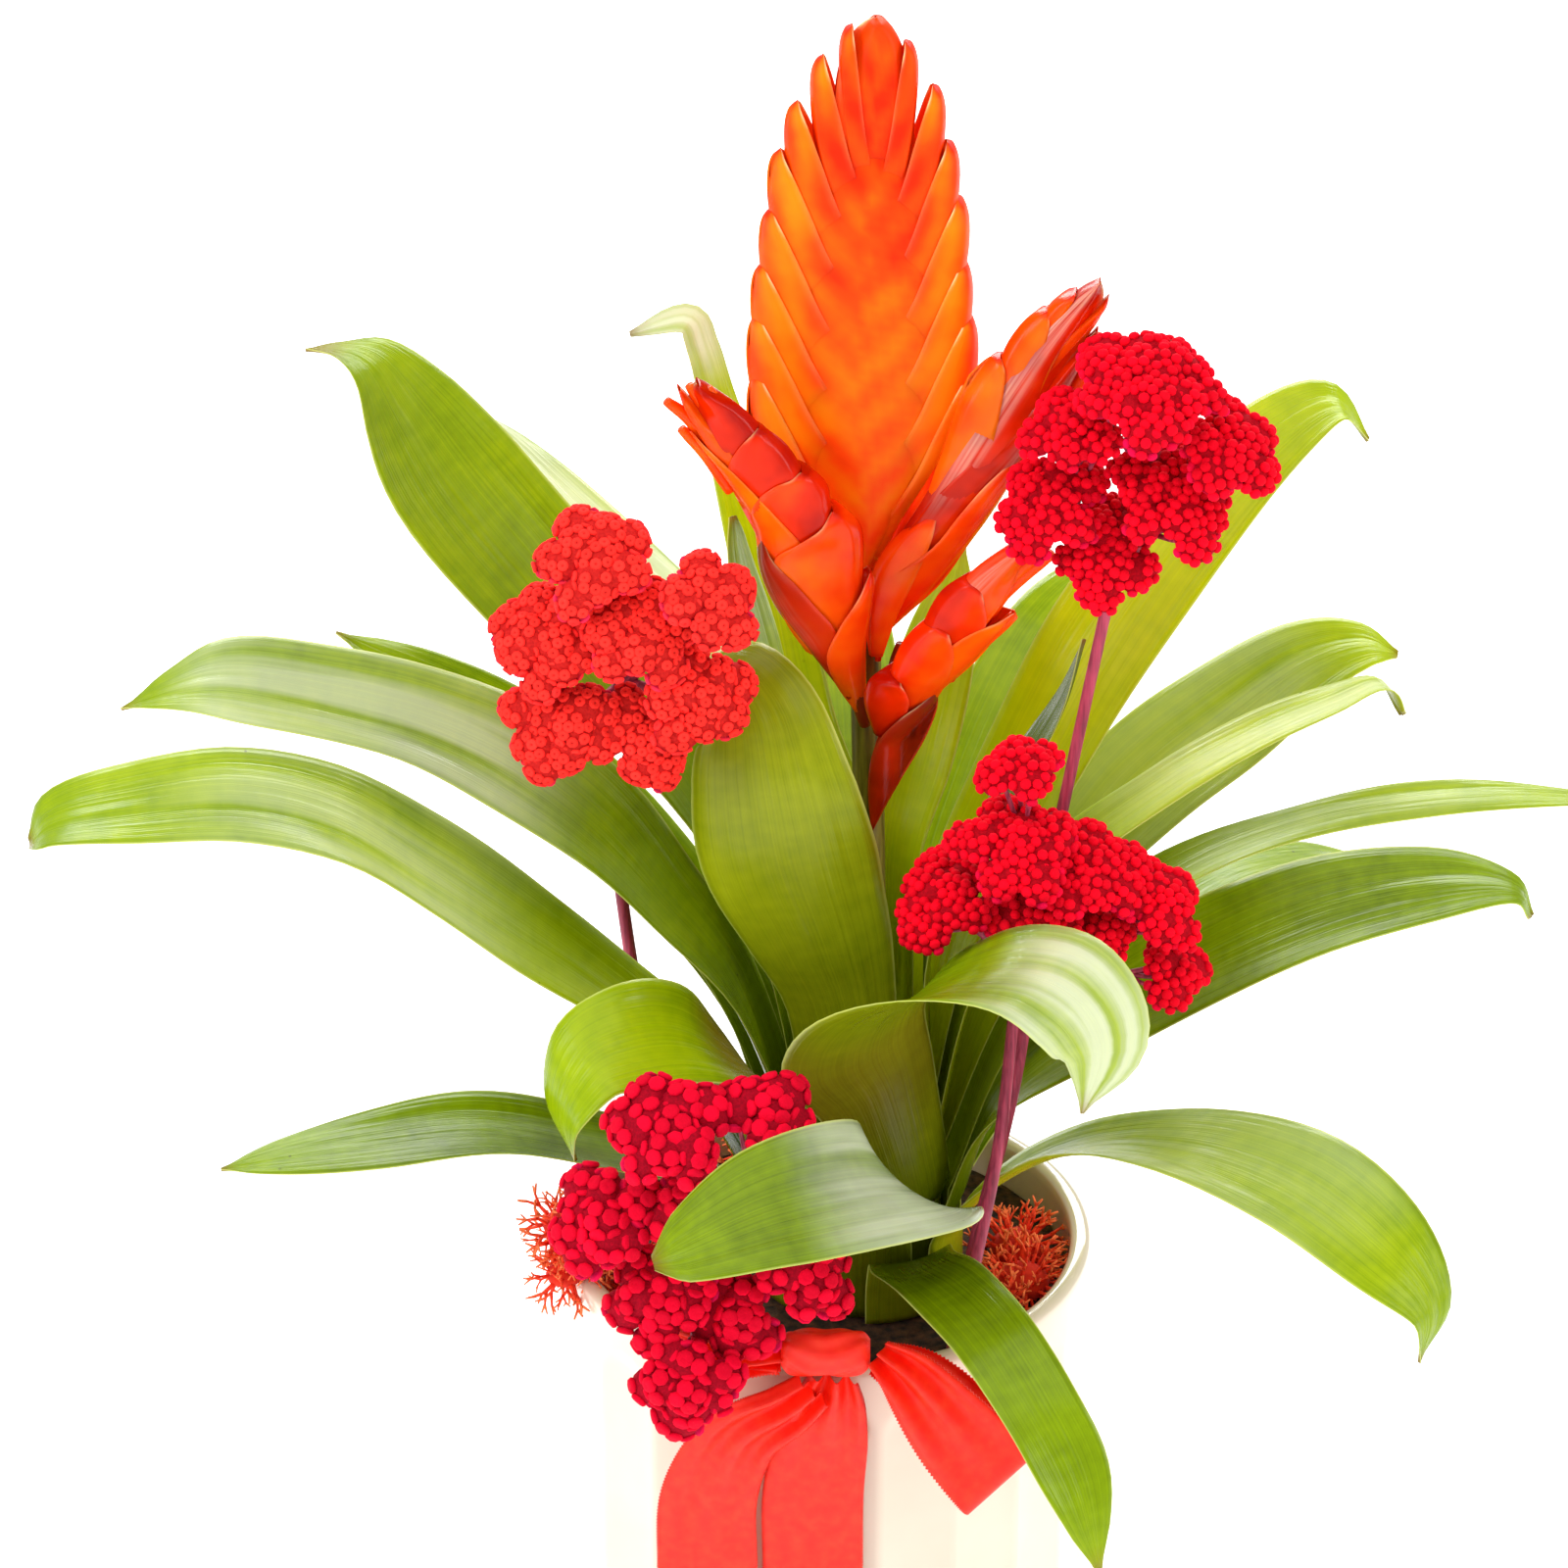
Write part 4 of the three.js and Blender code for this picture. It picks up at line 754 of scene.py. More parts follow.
def bract_shell(body, on_plane, facing, keel, margin, press=1.0, closed=0.0, glow=0.5, brown=0.0, sheen=0.0):
    """Points, faces, marks and map of one scale. Its margins stand in front of and behind the plane.
    Press is how far they lift in mm, and closed how far they draw together towards the tip, from 0 to 1."""
    look = {"glow": glow, "brown": brown, "sheen": sheen}
    points, grid = [], []
    marks = {key: [] for key in BRACT_MARKS}
    for k in range(BRACT_STATIONS + 1):
        s = k / BRACT_STATIONS
        (keel_x, keel_z), (margin_x, margin_z) = spline(keel, s), spline(margin, s)
        breadth = max(math.hypot(margin_x - keel_x, margin_z - keel_z), 2)
        tucked = 1.1 * (1 - smooth(0.0, 0.4, s))
        for wall in (0.0, BRACT_WALL):
            order = range(BRACT_SECTION + 1) if wall == 0 else range(BRACT_SECTION, -1, -1)
            for j in order:
                share = 2 * j / BRACT_SECTION - 1
                inward = abs(share) ** 1.4
                inset = inward + wall * (1 - inward) / breadth
                x = keel_x + (margin_x - keel_x) * inset
                z = keel_z + (margin_z - keel_z) * inset
                depth, off = body_depth(body, x, z)
                bow = press * math.sin(math.pi * min(inward, 1.0)) * smooth(0.5, 0.8, s)
                deep = depth + bow + press * (inward * smooth(0.1, 0.7, s) - 0.5) - tucked
                deep *= math.sqrt(min(inward / 0.15, 1.0)) * (1 - body["dive"] * smooth(0.85, 1.0, s))
                deep *= 1 - closed * smooth(0.5, 1.0, inward) * smooth(0.3, 0.7, s)
                rise = max(deep - wall, 0.05) if inward > 0 else 0.0
                points.append(on_plane(x, z) + facing * math.copysign(rise, share))
                grid.append((0.5 + share / 2, s))
                for key, value in bract_marks(body, x, z, off, inward, s, look).items():
                    marks[key].append(value)
    count = 2 * (BRACT_SECTION + 1)
    rings = [points[k * count:(k + 1) * count] for k in range(BRACT_STATIONS + 1)]
    shell_points, faces = loft(rings)
    return shell_points, faces, marks, grid


def middle_glow(body, x, z):
    """How bright the middle of the spike is, partly its own colour and partly painted light: redder towards
    the head, with soft slanting bands of painted light and shade where the scales overlap.
    """
    up = (z - body["low"]) / (body["high"] - body["low"])
    off = (x - read_list(body["middles"], up)) / read_list(body["halves"], up)
    bands = math.cos(2 * math.pi * (z - 30 * abs(off) + (7 if off > 0 else 0)) / 14.5)
    dusk = body["dusk"] * smooth(*body["dusk_from"], z)
    return body["core_glow"] - dusk + 0.09 * bands * (1 - smooth(0.9, 1.0, up))


def plain_marks(total, **given):
    return {key: given.get(key, [0.0] * total) for key in BRACT_MARKS}


def core_shell(body, on_plane, facing):
    """The middle of the spike, where the scales lie so close that they make one smooth body."""
    rings, glows = [], []
    turns = [2 * math.pi * i / CORE_STEPS for i in range(CORE_STEPS)]
    for k in range(CORE_STEPS + 1):
        share = k / CORE_STEPS
        up = 0.02 + (body["core_top"] - 0.02) * share
        x, z = read_list(body["middles"], up), body["low"] + (body["high"] - body["low"]) * up
        half = (read_list(body["halves"], up) - body["inset"]) * (1 - 0.5 * smooth(0.75, 1.0, share))
        deep = read_list(body["depths"], up) + body["core_lift"] - 3 * smooth(0.85, 1.0, share)
        half, deep = max(half, CORE_THINNEST), max(deep, CORE_THINNEST)
        rings.append([on_plane(x, z) + Vector((half * math.cos(a), 0, 0)) + facing * deep * math.sin(a)
                      for a in turns])
        glows += [middle_glow(body, x + half * math.cos(a), z) for a in turns]
    points, faces = loft(rings, ring_middle(rings[0]), ring_middle(rings[-1]))
    glows += [body["core_glow"]] * (len(points) - len(glows))
    return points, faces, plain_marks(len(points), glow=glows), [(0.5, 0.5)] * len(points)


def bud_shell(line, radius, glow, brown=0.0):
    """A finger-like bud: a slim closed tube, a little thinner at its end."""
    points, faces = tube(line, [radius * share for share in (0.9, 1.0, 1.0, 1.0, 0.95, 0.75)], 12, 16)
    total = len(points)
    return points, faces, plain_marks(total, glow=[glow] * total, brown=[brown] * total), [(0.5, 0.5)] * total


def spike_piece(name, shells, finish, *nodes):
    points, faces = joined([(p, f) for p, f, _, _ in shells])
    marks = {key: [v for shell in shells for v in shell[2][key]] for key in BRACT_MARKS}
    grid = [pair for shell in shells for pair in shell[3]]
    show(name, make_mesh(name, points, faces, marks, grid), finish, "bract", *nodes)


# Main spike: the x and z of each tip in its two ranks, from the foot up, on one upright plane
main_tips = {
    -1: [(-16, 367), (-17, 381), (-17, 396), (-16, 409), (-14, 423), (-12, 438), (-8, 450), (-2, 461.5),
         (4.7, 469)],
    1: [(32, 381), (32, 396), (30.5, 410), (29.5, 426), (27, 440), (23.5, 454), (17, 465)],
}
# Its body: the middle's x, half widths and half depths at even steps from its lowest to its highest point,
# how far its smooth core lies inside that and how high it goes, and how it is lit. Where blend is 1, the
# scales take the core's own colour at the middle. Dive is how far the tips dip back towards the plane
main_body = {
    "low": 325, "high": 472, "inset": 5, "core_lift": 0.2, "core_top": 0.84, "core_glow": 0.56,
    "dusk": 0.24, "dusk_from": (385, 435), "inner_glow": 0.34, "blend": 1.0, "rim": 0.9, "dive": 0.75,
    "middles": [8.2, 8.2, 8.2, 8.3, 8.4, 8.6, 8.8, 9, 9.3, 9.6, 10, 10.4, 10.6],
    "halves": [3, 11, 19, 25, 27.5, 28, 27.5, 26.5, 25, 23, 20, 15, 7],
    "depths": [3.2, 5.4, 7.2, 8.2, 8.7, 8.8, 8.6, 8.2, 7.6, 6.8, 5.8, 4.6, 3],
}
# How a bract of the main spike runs: its height as a share of its length, its keel as a share of the tip's
# reach and a bulge in mm, and its margin as a share of the reach, which is negative beyond the axis
BRACT_OUTLINE = [(0, 0, 1.5, -0.4), (0.18, 0.5, 2.2, -0.06), (0.36, 0.78, 2.6, 0.26), (0.54, 0.93, 2.8, 0.5),
                 (0.72, 1, 3.0, 0.68), (0.87, 1, 3.2, 0.84), (0.96, 1, 2.2, 0.95), (1, 1, 0, 1)]


def on_main_plane(x, z):
    return Vector((x, 0, z))


def main_spike():
    front = Vector((0, -1, 0))
    shells = [core_shell(main_body, on_main_plane, front)]
    for hand, tips in main_tips.items():
        for k, (x, z) in enumerate(tips):
            share = k / (len(tips) - 1)
            foot = max(z - BRACT_LENGTH + 8 * share, SPIKE_FOOT + 3)
            axis = SPIKE_AXIS + (foot - SPIKE_FOOT) * SPIKE_LEAN
            length = z - foot
            reach = (x - axis) * hand
            keel, margin = [], []
            for up, along_reach, bulge, inner in BRACT_OUTLINE:
                keel.append((axis + hand * (reach * along_reach + bulge), foot + length * up))
                margin.append((axis + hand * reach * inner, foot + length * up))
            shells.append(bract_shell(main_body, on_main_plane, front, keel, margin, press=0.55,
                                      glow=0.56 - 0.08 * smooth(0.5, 1.0, share)))
    crown = ([(14, 420), (17.4, 434), (18.6, 449), (17.6, 459), (15.4, 465.8), (12.8, 469.4), (10.4, 470.8)],
             [(4, 420), (1.4, 434), (0.6, 449), (1.8, 459), (4.2, 465.8), (7, 469.2), (9.6, 470.6)])
    shells.append(bract_shell(main_body, on_main_plane, front, *crown, press=0.8, closed=0.95, glow=0.42))
    spike_piece("spike_main_bracts", shells, soft_bract, "spike_main")


# Side spikes: the foot and head of each one's plane as x, y and z, the place where it leaves the stalk, and
# its body as for the main spike. Then its bracts from the head to the foot, each as a keel line, a margin
# line, how far its margin lifts in mm, its glow and what else sets it apart. Last its buds and their radius,
# and on one spike a narrow brown bract that clasps the stalk
side_spikes = {
    "left": {
        "foot": (8, -9, 297), "head": (-26, -26, 374), "stub": (8.7, -6, 289),
        "body": {
            "low": 295, "high": 393,
            "middles": [6, 2.2, -1.2, -4, -6, -15, -26.5, -33],
            "halves": [3, 6.5, 12, 14, 13.6, 12, 10.5, 5],
            "depths": [2.6, 4.6, 6, 6.4, 6.2, 5.6, 4.6, 3],
        },
        "bracts": [
            {"press": 0.48, "glow": 0.37, "closed": 0.85,
             "keel": [(-20, 357), (-27, 368), (-32, 378), (-35, 385), (-36.2, 389.7)],
             "margin": [(-14, 358), (-22, 370), (-28, 380), (-32.4, 386), (-35.4, 389.6)]},
            {"press": 0.6, "glow": 0.07, "closed": 0.85,
             "keel": [(-6, 350), (-12, 366), (-16, 377), (-18.2, 381), (-22, 385), (-27.2, 388.5),
                      (-31, 391.2)],
             "margin": [(-16, 350), (-24, 366), (-28, 374), (-31, 381), (-33, 386), (-33.4, 389.6),
                        (-31.8, 391.2)]},
            {"press": 0.6, "glow": 0.11,
             "keel": [(2, 338), (-2, 352), (-6, 364), (-8.6, 370.2), (-11.2, 374.3), (-14.7, 377.6),
                      (-17.2, 379.2)],
             "margin": [(-14, 340), (-20, 352), (-24.5, 364), (-25, 370), (-23, 375), (-20, 378),
                        (-17.6, 379.1)]},
            {"press": 0.54, "glow": 0.47,
             "keel": [(-12, 325), (-17, 340), (-19, 352), (-25.2, 363.8), (-30, 372.4), (-34, 378.6)],
             "margin": [(2, 330), (-6, 345), (-14, 356), (-22, 366), (-29, 374), (-33.4, 378.7)]},
            {"press": 0.6, "glow": 0.19,
             "keel": [(5, 325), (3, 345), (0.2, 356), (-0.4, 360.3), (-1.6, 363.2), (-4, 365.8),
                      (-7.2, 367)],
             "margin": [(-12, 330), (-17, 345), (-19.4, 355), (-18, 361), (-14.6, 364.6), (-11, 366),
                        (-7.6, 366.9)]},
            {"press": 0.6, "glow": 0.39,
             "keel": [(6, 312), (7.5, 325), (7.9, 338), (7.8, 346.4), (6.7, 351), (3.7, 354.4), (0.2, 356)],
             "margin": [(-6, 312), (-11, 322), (-14.4, 334), (-14, 343), (-9, 348), (-4, 352),
                        (-0.4, 355.8)]},
            {"press": 0.6, "glow": 0.13, "brown": 0.75, "sheen": 0.08,
             "keel": [(4, 298), (-2.6, 308.2), (-7.7, 316.3), (-12.7, 324.3), (-16.2, 333.2), (-17.6, 341),
                      (-17.1, 347.9)],
             "margin": [(5, 299), (2, 311), (0.4, 322), (-4.8, 330), (-9.8, 336.8), (-14.6, 342.4),
                        (-16.8, 347.7)]},
            {"press": 0.96, "glow": 0.33,
             "keel": [(9, 294), (8.8, 304), (8.8, 315), (10, 326), (10.6, 333), (9.5, 336.9)],
             "margin": [(6, 294), (0.8, 304), (-1.6, 314), (1.2, 323.5), (5, 330), (9.1, 336.6)]},
        ],
        "buds": [
            [(-25, 366), (-33, 380), (-38.8, 386)],
            [(-23, 371), (-29.4, 383), (-33.4, 390.4)],
            [(-24, 360), (-30, 371), (-35.4, 378)],
            [(-21, 372), (-25.6, 383), (-29, 389.6)],
        ],
        "bud_radius": 1.5,
    },
    "right_upper": {
        "foot": (14.4, -5.4, 304), "head": (56.4, -12.4, 400), "stub": (13.6, -3.8, 293),
        "body": {
            "low": 304, "high": 412,
            "middles": [11.5, 14, 22.5, 33, 43, 52.5, 62],
            "halves": [3.5, 8, 12, 13, 13.5, 12, 5],
            "depths": [2.6, 4.2, 5.6, 6, 5.8, 5, 3],
        },
        "bracts": [
            {"press": 0.42, "glow": 0.33, "closed": 0.8,
             "keel": [(48, 380), (56, 391), (62, 399), (64.8, 403), (65.3, 405.8)],
             "margin": [(40, 382), (49, 392), (57, 399), (62, 403), (64.9, 405.7)]},
            {"press": 0.48, "glow": 0.43, "closed": 0.6,
             "keel": [(36, 372), (44, 390), (50.2, 402), (53.4, 405.6), (57.4, 407.3)],
             "margin": [(46, 372), (52, 388), (56, 398), (57.8, 404), (57.8, 406.9)]},
            {"press": 0.48, "glow": 0.47,
             "keel": [(28, 358), (36, 376), (40.5, 391), (44.6, 398.4), (48.1, 401.7), (50.8, 402.6)],
             "margin": [(40, 360), (46, 376), (49, 388), (51, 396), (51.6, 400), (51.1, 402.3)]},
            {"press": 0.48, "glow": 0.51,
             "keel": [(20, 345), (26.4, 364), (31.4, 381.9), (34.1, 386.6), (37.3, 389.7), (40, 390.2)],
             "margin": [(30, 346), (37, 362), (40, 374), (41.4, 384), (41.4, 388), (40.4, 389.9)]},
            {"press": 0.54, "glow": 0.01, "closed": 0.6, "sheen": 0.15,
             "keel": [(18, 326), (32, 343), (46, 362), (54, 376), (60, 389), (63, 397)],
             "margin": [(12, 333), (24, 352), (36, 366), (46, 378), (54, 388), (62.4, 396.8)]},
            {"press": 0.72, "glow": 0.11, "closed": 0.7, "sheen": 0.6,
             "keel": [(13, 322), (14.9, 338), (22.4, 352.7), (30.8, 370), (37.8, 382.8), (44.4, 393),
                      (50.8, 400.4), (57.7, 407), (62.8, 409.9)],
             "margin": [(16, 322), (24.9, 336), (33.6, 348), (43.6, 362), (51.6, 377), (58.4, 391),
                        (62.6, 400.6), (64, 406), (63.2, 409.7)]},
            {"press": 0.24, "glow": 0.37,
             "keel": [(9.6, 308), (9.2, 320), (10.4, 332), (17, 343), (25.6, 350.5)],
             "margin": [(13, 308), (16.4, 320), (20.6, 331), (24.6, 342), (26.2, 350.4)]},
            {"press": 0.9, "glow": 0.27,
             "keel": [(10.4, 308), (14, 314), (19.6, 320), (27, 328), (33, 338), (38, 346), (43.4, 356),
                      (48.3, 367)],
             "margin": [(9.6, 308), (8.8, 318), (11, 328.4), (18, 334.6), (25.4, 341), (31.6, 350),
                        (38.6, 359), (47.9, 367.2)]},
        ],
        "buds": [
            [(52, 384), (59, 396), (62.8, 402)],
            [(56, 376), (61, 388), (63.6, 395.6)],
        ],
        "bud_radius": 1.7,
    },
    "right_lower": {
        "foot": (15, -12, 289), "head": (42, -27, 342), "stub": (12, -5.1, 276),
        "body": {
            "low": 287, "high": 353,
            "middles": [13, 15.5, 21, 28, 35, 42, 48.5],
            "halves": [4, 9, 11, 11.5, 11, 9.5, 5],
            "depths": [2.6, 4.4, 5.2, 5.2, 4.8, 4, 2.8],
        },
        "bracts": [
            {"press": 0.3, "glow": 0.27, "closed": 0.8, "sheen": 0.3,
             "keel": [(24, 320), (27, 331), (34, 341), (42, 348), (48.6, 351.6)],
             "margin": [(34, 318), (38, 327), (43, 336), (47, 345), (49, 351.2)]},
            {"press": 0.516, "glow": 0.13,
             "keel": [(18, 308), (22, 324), (26, 334), (31, 338.6), (36, 339)],
             "margin": [(30, 306), (35, 317), (38, 327), (37.5, 334), (36.4, 338.4)]},
            {"press": 0.354, "glow": 0.41,
             "keel": [(24, 300), (34, 311), (40, 320), (44.6, 327.5)],
             "margin": [(18, 306), (27, 318), (35, 325), (44, 328)]},
            {"press": 0.678, "glow": 0.27,
             "keel": [(14, 297), (14.4, 309), (17.5, 319), (23, 325.5), (28.6, 326)],
             "margin": [(24, 296), (28, 306), (30.5, 316), (30, 322), (28.8, 325.6)]},
            {"press": 0.732, "glow": 0.11,
             "keel": [(10.6, 290), (8.2, 300), (9.6, 307), (13.5, 309.6), (17, 310)],
             "margin": [(17, 288), (19, 297), (20, 303), (19, 307), (17.4, 309.6)]},
        ],
        "buds": [
            [(34, 324), (45, 338), (52.6, 346)],
            [(36, 330), (46, 342), (51.5, 349)],
            [(30, 310), (38, 320), (44, 327)],
        ],
        "bud_radius": 1.6,
        "clasp": {"press": 0.3, "glow": 0.05, "brown": 0.85,
                  "keel": [(11, 258), (17, 273), (23, 287), (26, 297), (26.2, 304)],
                  "margin": [(10.6, 258), (9.6, 273), (11.5, 287), (17.5, 297), (25.4, 303.6)]},
    },
}
# How the body of every side spike is covered and lit
SIDE_BODY = {"inset": 4, "core_lift": -3.2, "core_top": 0.94, "core_glow": 0.2, "dusk": 0.0,
             "dusk_from": (0, 1), "inner_glow": 0.16, "blend": 0.0, "rim": 0.3, "dive": 0.35}


def side_spike(name, spike):
    foot, head = Vector(spike["foot"]), Vector(spike["head"])
    along = head - foot
    facing = Vector((0, -1, 0.2))
    facing = (facing - along * (facing.dot(along) / along.length_squared)).normalized()

    def on_plane(x, z):
        return Vector((x, foot.y + (z - foot.z) * along.y / along.z, z))

    body = {**spike["body"], **SIDE_BODY}
    shells = [core_shell(body, on_plane, facing)]
    shells += [bract_shell(body, on_plane, facing, **bract) for bract in spike["bracts"]]
    for line in spike["buds"]:
        shells.append(bud_shell([tuple(on_plane(x, z)) for x, z in line], spike["bud_radius"], glow=0.4))
    stub, inside = Vector(spike["stub"]), foot + along * 0.07
    stub_line = [tuple(stub), tuple(stub.lerp(inside, 0.5)), tuple(inside)]
    shells.append(bud_shell(stub_line, STUB_RADIUS, glow=0.3, brown=0.9))
    if "clasp" in spike:
        shells.append(bract_shell(body, on_plane, facing, **spike["clasp"]))
    spike_piece(f"spike_{name}_bracts", shells, glossy_bract, f"spike_{name}")


main_spike()
for name, spike in side_spikes.items():
    side_spike(name, spike)

stalk_line = [(9, 0, 186.3), (10, 0, 230), (9.5, 0, 275), (8, 0, SPIKE_FOOT - 0.3)]
stalk = make_mesh("flower_stalk_smooth", *tube(stalk_line, [4.0, 4.2, 3.9, 4.0], 20, 36))
show("flower_stalk_smooth", stalk, stalk_skin, "plant_stem", "flower_stalk")


# Scatter: a tree that stands small shapes on a surface, turned to it, with a seeded draw

def scatter_tree(name, small_shape, finish, density_mark):
    tree = bpy.data.node_groups.new(name, "GeometryNodeTree")
    face = tree.interface
    face.new_socket("Geometry", in_out="INPUT", socket_type="NodeSocketGeometry")
    face.new_socket("Geometry", in_out="OUTPUT", socket_type="NodeSocketGeometry")
    sizes = {}
    for label in ("Pitch", "Size", "Size Spread"):
        sizes[label] = face.new_socket(label, in_out="INPUT", socket_type="NodeSocketFloat")
    sizes["Seed"] = face.new_socket("Seed", in_out="INPUT", socket_type="NodeSocketInt")
    given = add_node(tree, "NodeGroupInput")
    cover = add_node(tree, "GeometryNodeInputNamedAttribute", {"Name": density_mark}, data_type="FLOAT")
    dots = add_node(tree, "GeometryNodeDistributePointsOnFaces", {
        "Mesh": given.outputs["Geometry"], "Distance Min": given.outputs["Pitch"], "Density Max": 4e6,
        "Density Factor": cover.outputs["Attribute"], "Seed": given.outputs["Seed"],
    }, distribute_method="POISSON")
    draw = add_node(tree, "FunctionNodeRandomValue", {"Seed": 3}, data_type="FLOAT")
    shaded = add_node(tree, "GeometryNodeStoreNamedAttribute", {
        "Geometry": dots.outputs["Points"], "Name": "shade", "Value": draw.outputs[1],
    }, data_type="FLOAT", domain="POINT")
    spin = add_node(tree, "FunctionNodeRandomValue", {2: 0.0, 3: 6.283, "Seed": 5}, data_type="FLOAT")
    turned = add_node(tree, "FunctionNodeAxisAngleToRotation", {
        "Axis": (0.0, 0.0, 1.0), "Angle": spin.outputs[1]})
    stood = add_node(tree, "FunctionNodeRotateRotation", {
        "Rotation": dots.outputs["Rotation"], "Rotate By": turned.outputs["Rotation"],
    }, rotation_space="LOCAL")
    smallest = combine(tree, "SUBTRACT", given.outputs["Size"], given.outputs["Size Spread"])
    largest = combine(tree, "ADD", given.outputs["Size"], given.outputs["Size Spread"])
    scale = add_node(tree, "FunctionNodeRandomValue", {2: smallest, 3: largest, "Seed": 9}, data_type="FLOAT")
    source = add_node(tree, "GeometryNodeObjectInfo", {"Object": small_shape})
    copies = add_node(tree, "GeometryNodeInstanceOnPoints", {
        "Points": shaded.outputs["Geometry"], "Instance": source.outputs["Geometry"],
        "Rotation": stood.outputs["Rotation"], "Scale": scale.outputs[1]})
    real = add_node(tree, "GeometryNodeRealizeInstances", {"Geometry": copies.outputs["Instances"]})
    finished = add_node(tree, "GeometryNodeSetMaterial", {
        "Geometry": real.outputs["Geometry"], "Material": finish})
    add_node(tree, "NodeGroupOutput", {"Geometry": finished.outputs["Geometry"]})
    return tree, sizes


def scatter(name, bed_mesh, small_mesh, finish, density_mark, **amounts):
    """Small shapes scattered over a bed, as one plain mesh."""
    small = bpy.data.objects.new("small", small_mesh)
    bed = bpy.data.objects.new("bed", bed_mesh)
    bpy.context.scene.collection.objects.link(bed)
    tree, sizes = scatter_tree(name, small, finish, density_mark)
    modifier = bed.modifiers.new("scatter", "NODES")
    modifier.node_group = tree
    for label, value in amounts.items():
        modifier[sizes[label.replace("_", " ")].identifier] = value
    result = bpy.data.meshes.new_from_object(bed.evaluated_get(bpy.context.evaluated_depsgraph_get()))
    result.name = name
    bed.modifiers.remove(modifier)
    bpy.data.objects.remove(bed)
    bpy.data.objects.remove(small)
    bpy.data.node_groups.remove(tree)
    result.shade_smooth()
    return result


# Florets of the yarrow, as rings of radius, height and how open each is to the light, which sets the
# painted shade, then the same for the middle
CUP_FLORET = [(0.6, -0.5, 0), (0.96, -0.1, 0.1), (1.04, 0.25, 0.75), (0.88, 0.5, 1), (0.42, 0.52, 0.9),
              (0.17, 0.34, 0.2), (0, 0.24, 0)]
BALL_FLORET = [(0.5, -0.6, 0), (0.92, -0.2, 0.2), (1.02, 0.2, 0.7), (0.88, 0.58, 1), (0.54, 0.84, 1),
               (0.24, 0.92, 0.9), (0, 0.88, 0.7)]
BUTTON_FLORET = [(0.5, -0.5, 0), (0.95, -0.1, 0.2), (1.02, 0.2, 0.85), (0.86, 0.42, 1), (0.5, 0.5, 0.8),
                 (0.24, 0.5, 0.7), (0, 0.46, 0.6)]
# Yarrow: each head has a stem, a hub where its branches part, the way that it faces, and lobes of florets
# as centre and radius, with its florets' shape, pitch and finish
yarrows = {
    "upper_left": {
        "stem": [(-36, 24, 98), (-42, 22, 150), (-50, 21, 205), (-55, 20, 252), (-56, 14, 277),
                 (-52, 2, 293)],
        "hub": (-50, -5, 300), "facing": (0.05, -0.86, 0.5),
        "floret": CUP_FLORET, "pitch": 2.25, "finish": coral_floret,
        "lobes": [(-57, -30, 345, 14), (-28, -35, 336, 12.4), (-46, -32, 328, 15), (-67, -30, 323, 14.5),
                  (-64, -31, 301, 14.5), (-46, -32, 298, 12.4), (-32, -34, 310, 13.5)],
    },
    "upper_right": {
        "stem": [(27, -42, 98), (35, -38.5, 150), (46, -30, 200), (52, -23, 245), (59, -20, 285),
                 (67, -20, 332)],
        "hub": (69, -21, 338), "facing": (0.1, -0.62, 0.75),
        "floret": BALL_FLORET, "pitch": 2.2, "finish": red_floret,
        "lobes": [(74, -33, 391, 18), (55, -33, 380, 12), (51, -34, 361, 13.5), (94, -33, 376, 13),
                  (80, -35, 363, 15), (66, -34, 350, 13)],
    },
    "middle_right": {
        "stem": [(27.5, -49.5, 98), (34.5, -46, 146), (42, -39.5, 188), (46, -35, 232)],
        "hub": (48, -35, 238), "facing": (0.05, -0.6, 0.78),
        "floret": BALL_FLORET, "pitch": 2.2, "finish": red_floret,
        "lobes": [(47, -37, 293, 10), (44, -41, 274, 15), (63, -40, 266, 14), (28, -40, 259, 13),
                  (50, -42, 255, 12), (66, -41, 250, 10), (80, -40, 257, 12), (84, -40, 238, 9)],
    },
    "lower_left": {
        "stem": [(-20, -36, 98), (-22, -42, 135), (-25, -54, 158), (-28, -64, 170)],
        "hub": (-29, -68, 175), "facing": (-0.1, -0.9, 0.42),
        "floret": BUTTON_FLORET, "pitch": 3.4, "finish": crimson_floret,
        "lobes": [(-39, -82, 219, 15), (-16, -78, 222, 11), (-56, -80, 192, 14), (-42, -82, 170, 13.5),
                  (-24, -81, 165, 12), (-6, -80, 176, 12.4), (-32, -82, 195, 14), (-36, -89, 150, 13.5)],
    },
}
# The small domes that florets stand on, as rings of reach and height, both as shares of the radius
DOME_PROFILE = [(0.3, 0.42), (0.58, 0.34), (0.82, 0.18), (1.0, -0.06), (0.98, -0.26), (0.7, -0.42),
                (0.3, -0.5)]
DOME_SIDES = 14
DOME_RADIUS = 5.2
GOLDEN_ANGLE = math.pi * (3 - math.sqrt(5))


def floret_shape(rows):
    """One floret, about 2 mm across before scaling."""
    turns = [math.pi * i / 4 for i in range(8)]
    rings = [[(r * math.cos(a), r * math.sin(a), h) for a in turns] for r, h, _ in rows[:-1]]
    points, faces = loft(rings, (0, 0, -0.8), (0, 0, rows[-1][1]))
    lit = [value for _, _, value in rows[:-1] for _ in turns] + [0.0, rows[-1][2]]
    return make_mesh("floret", points, faces, {"lit": lit})


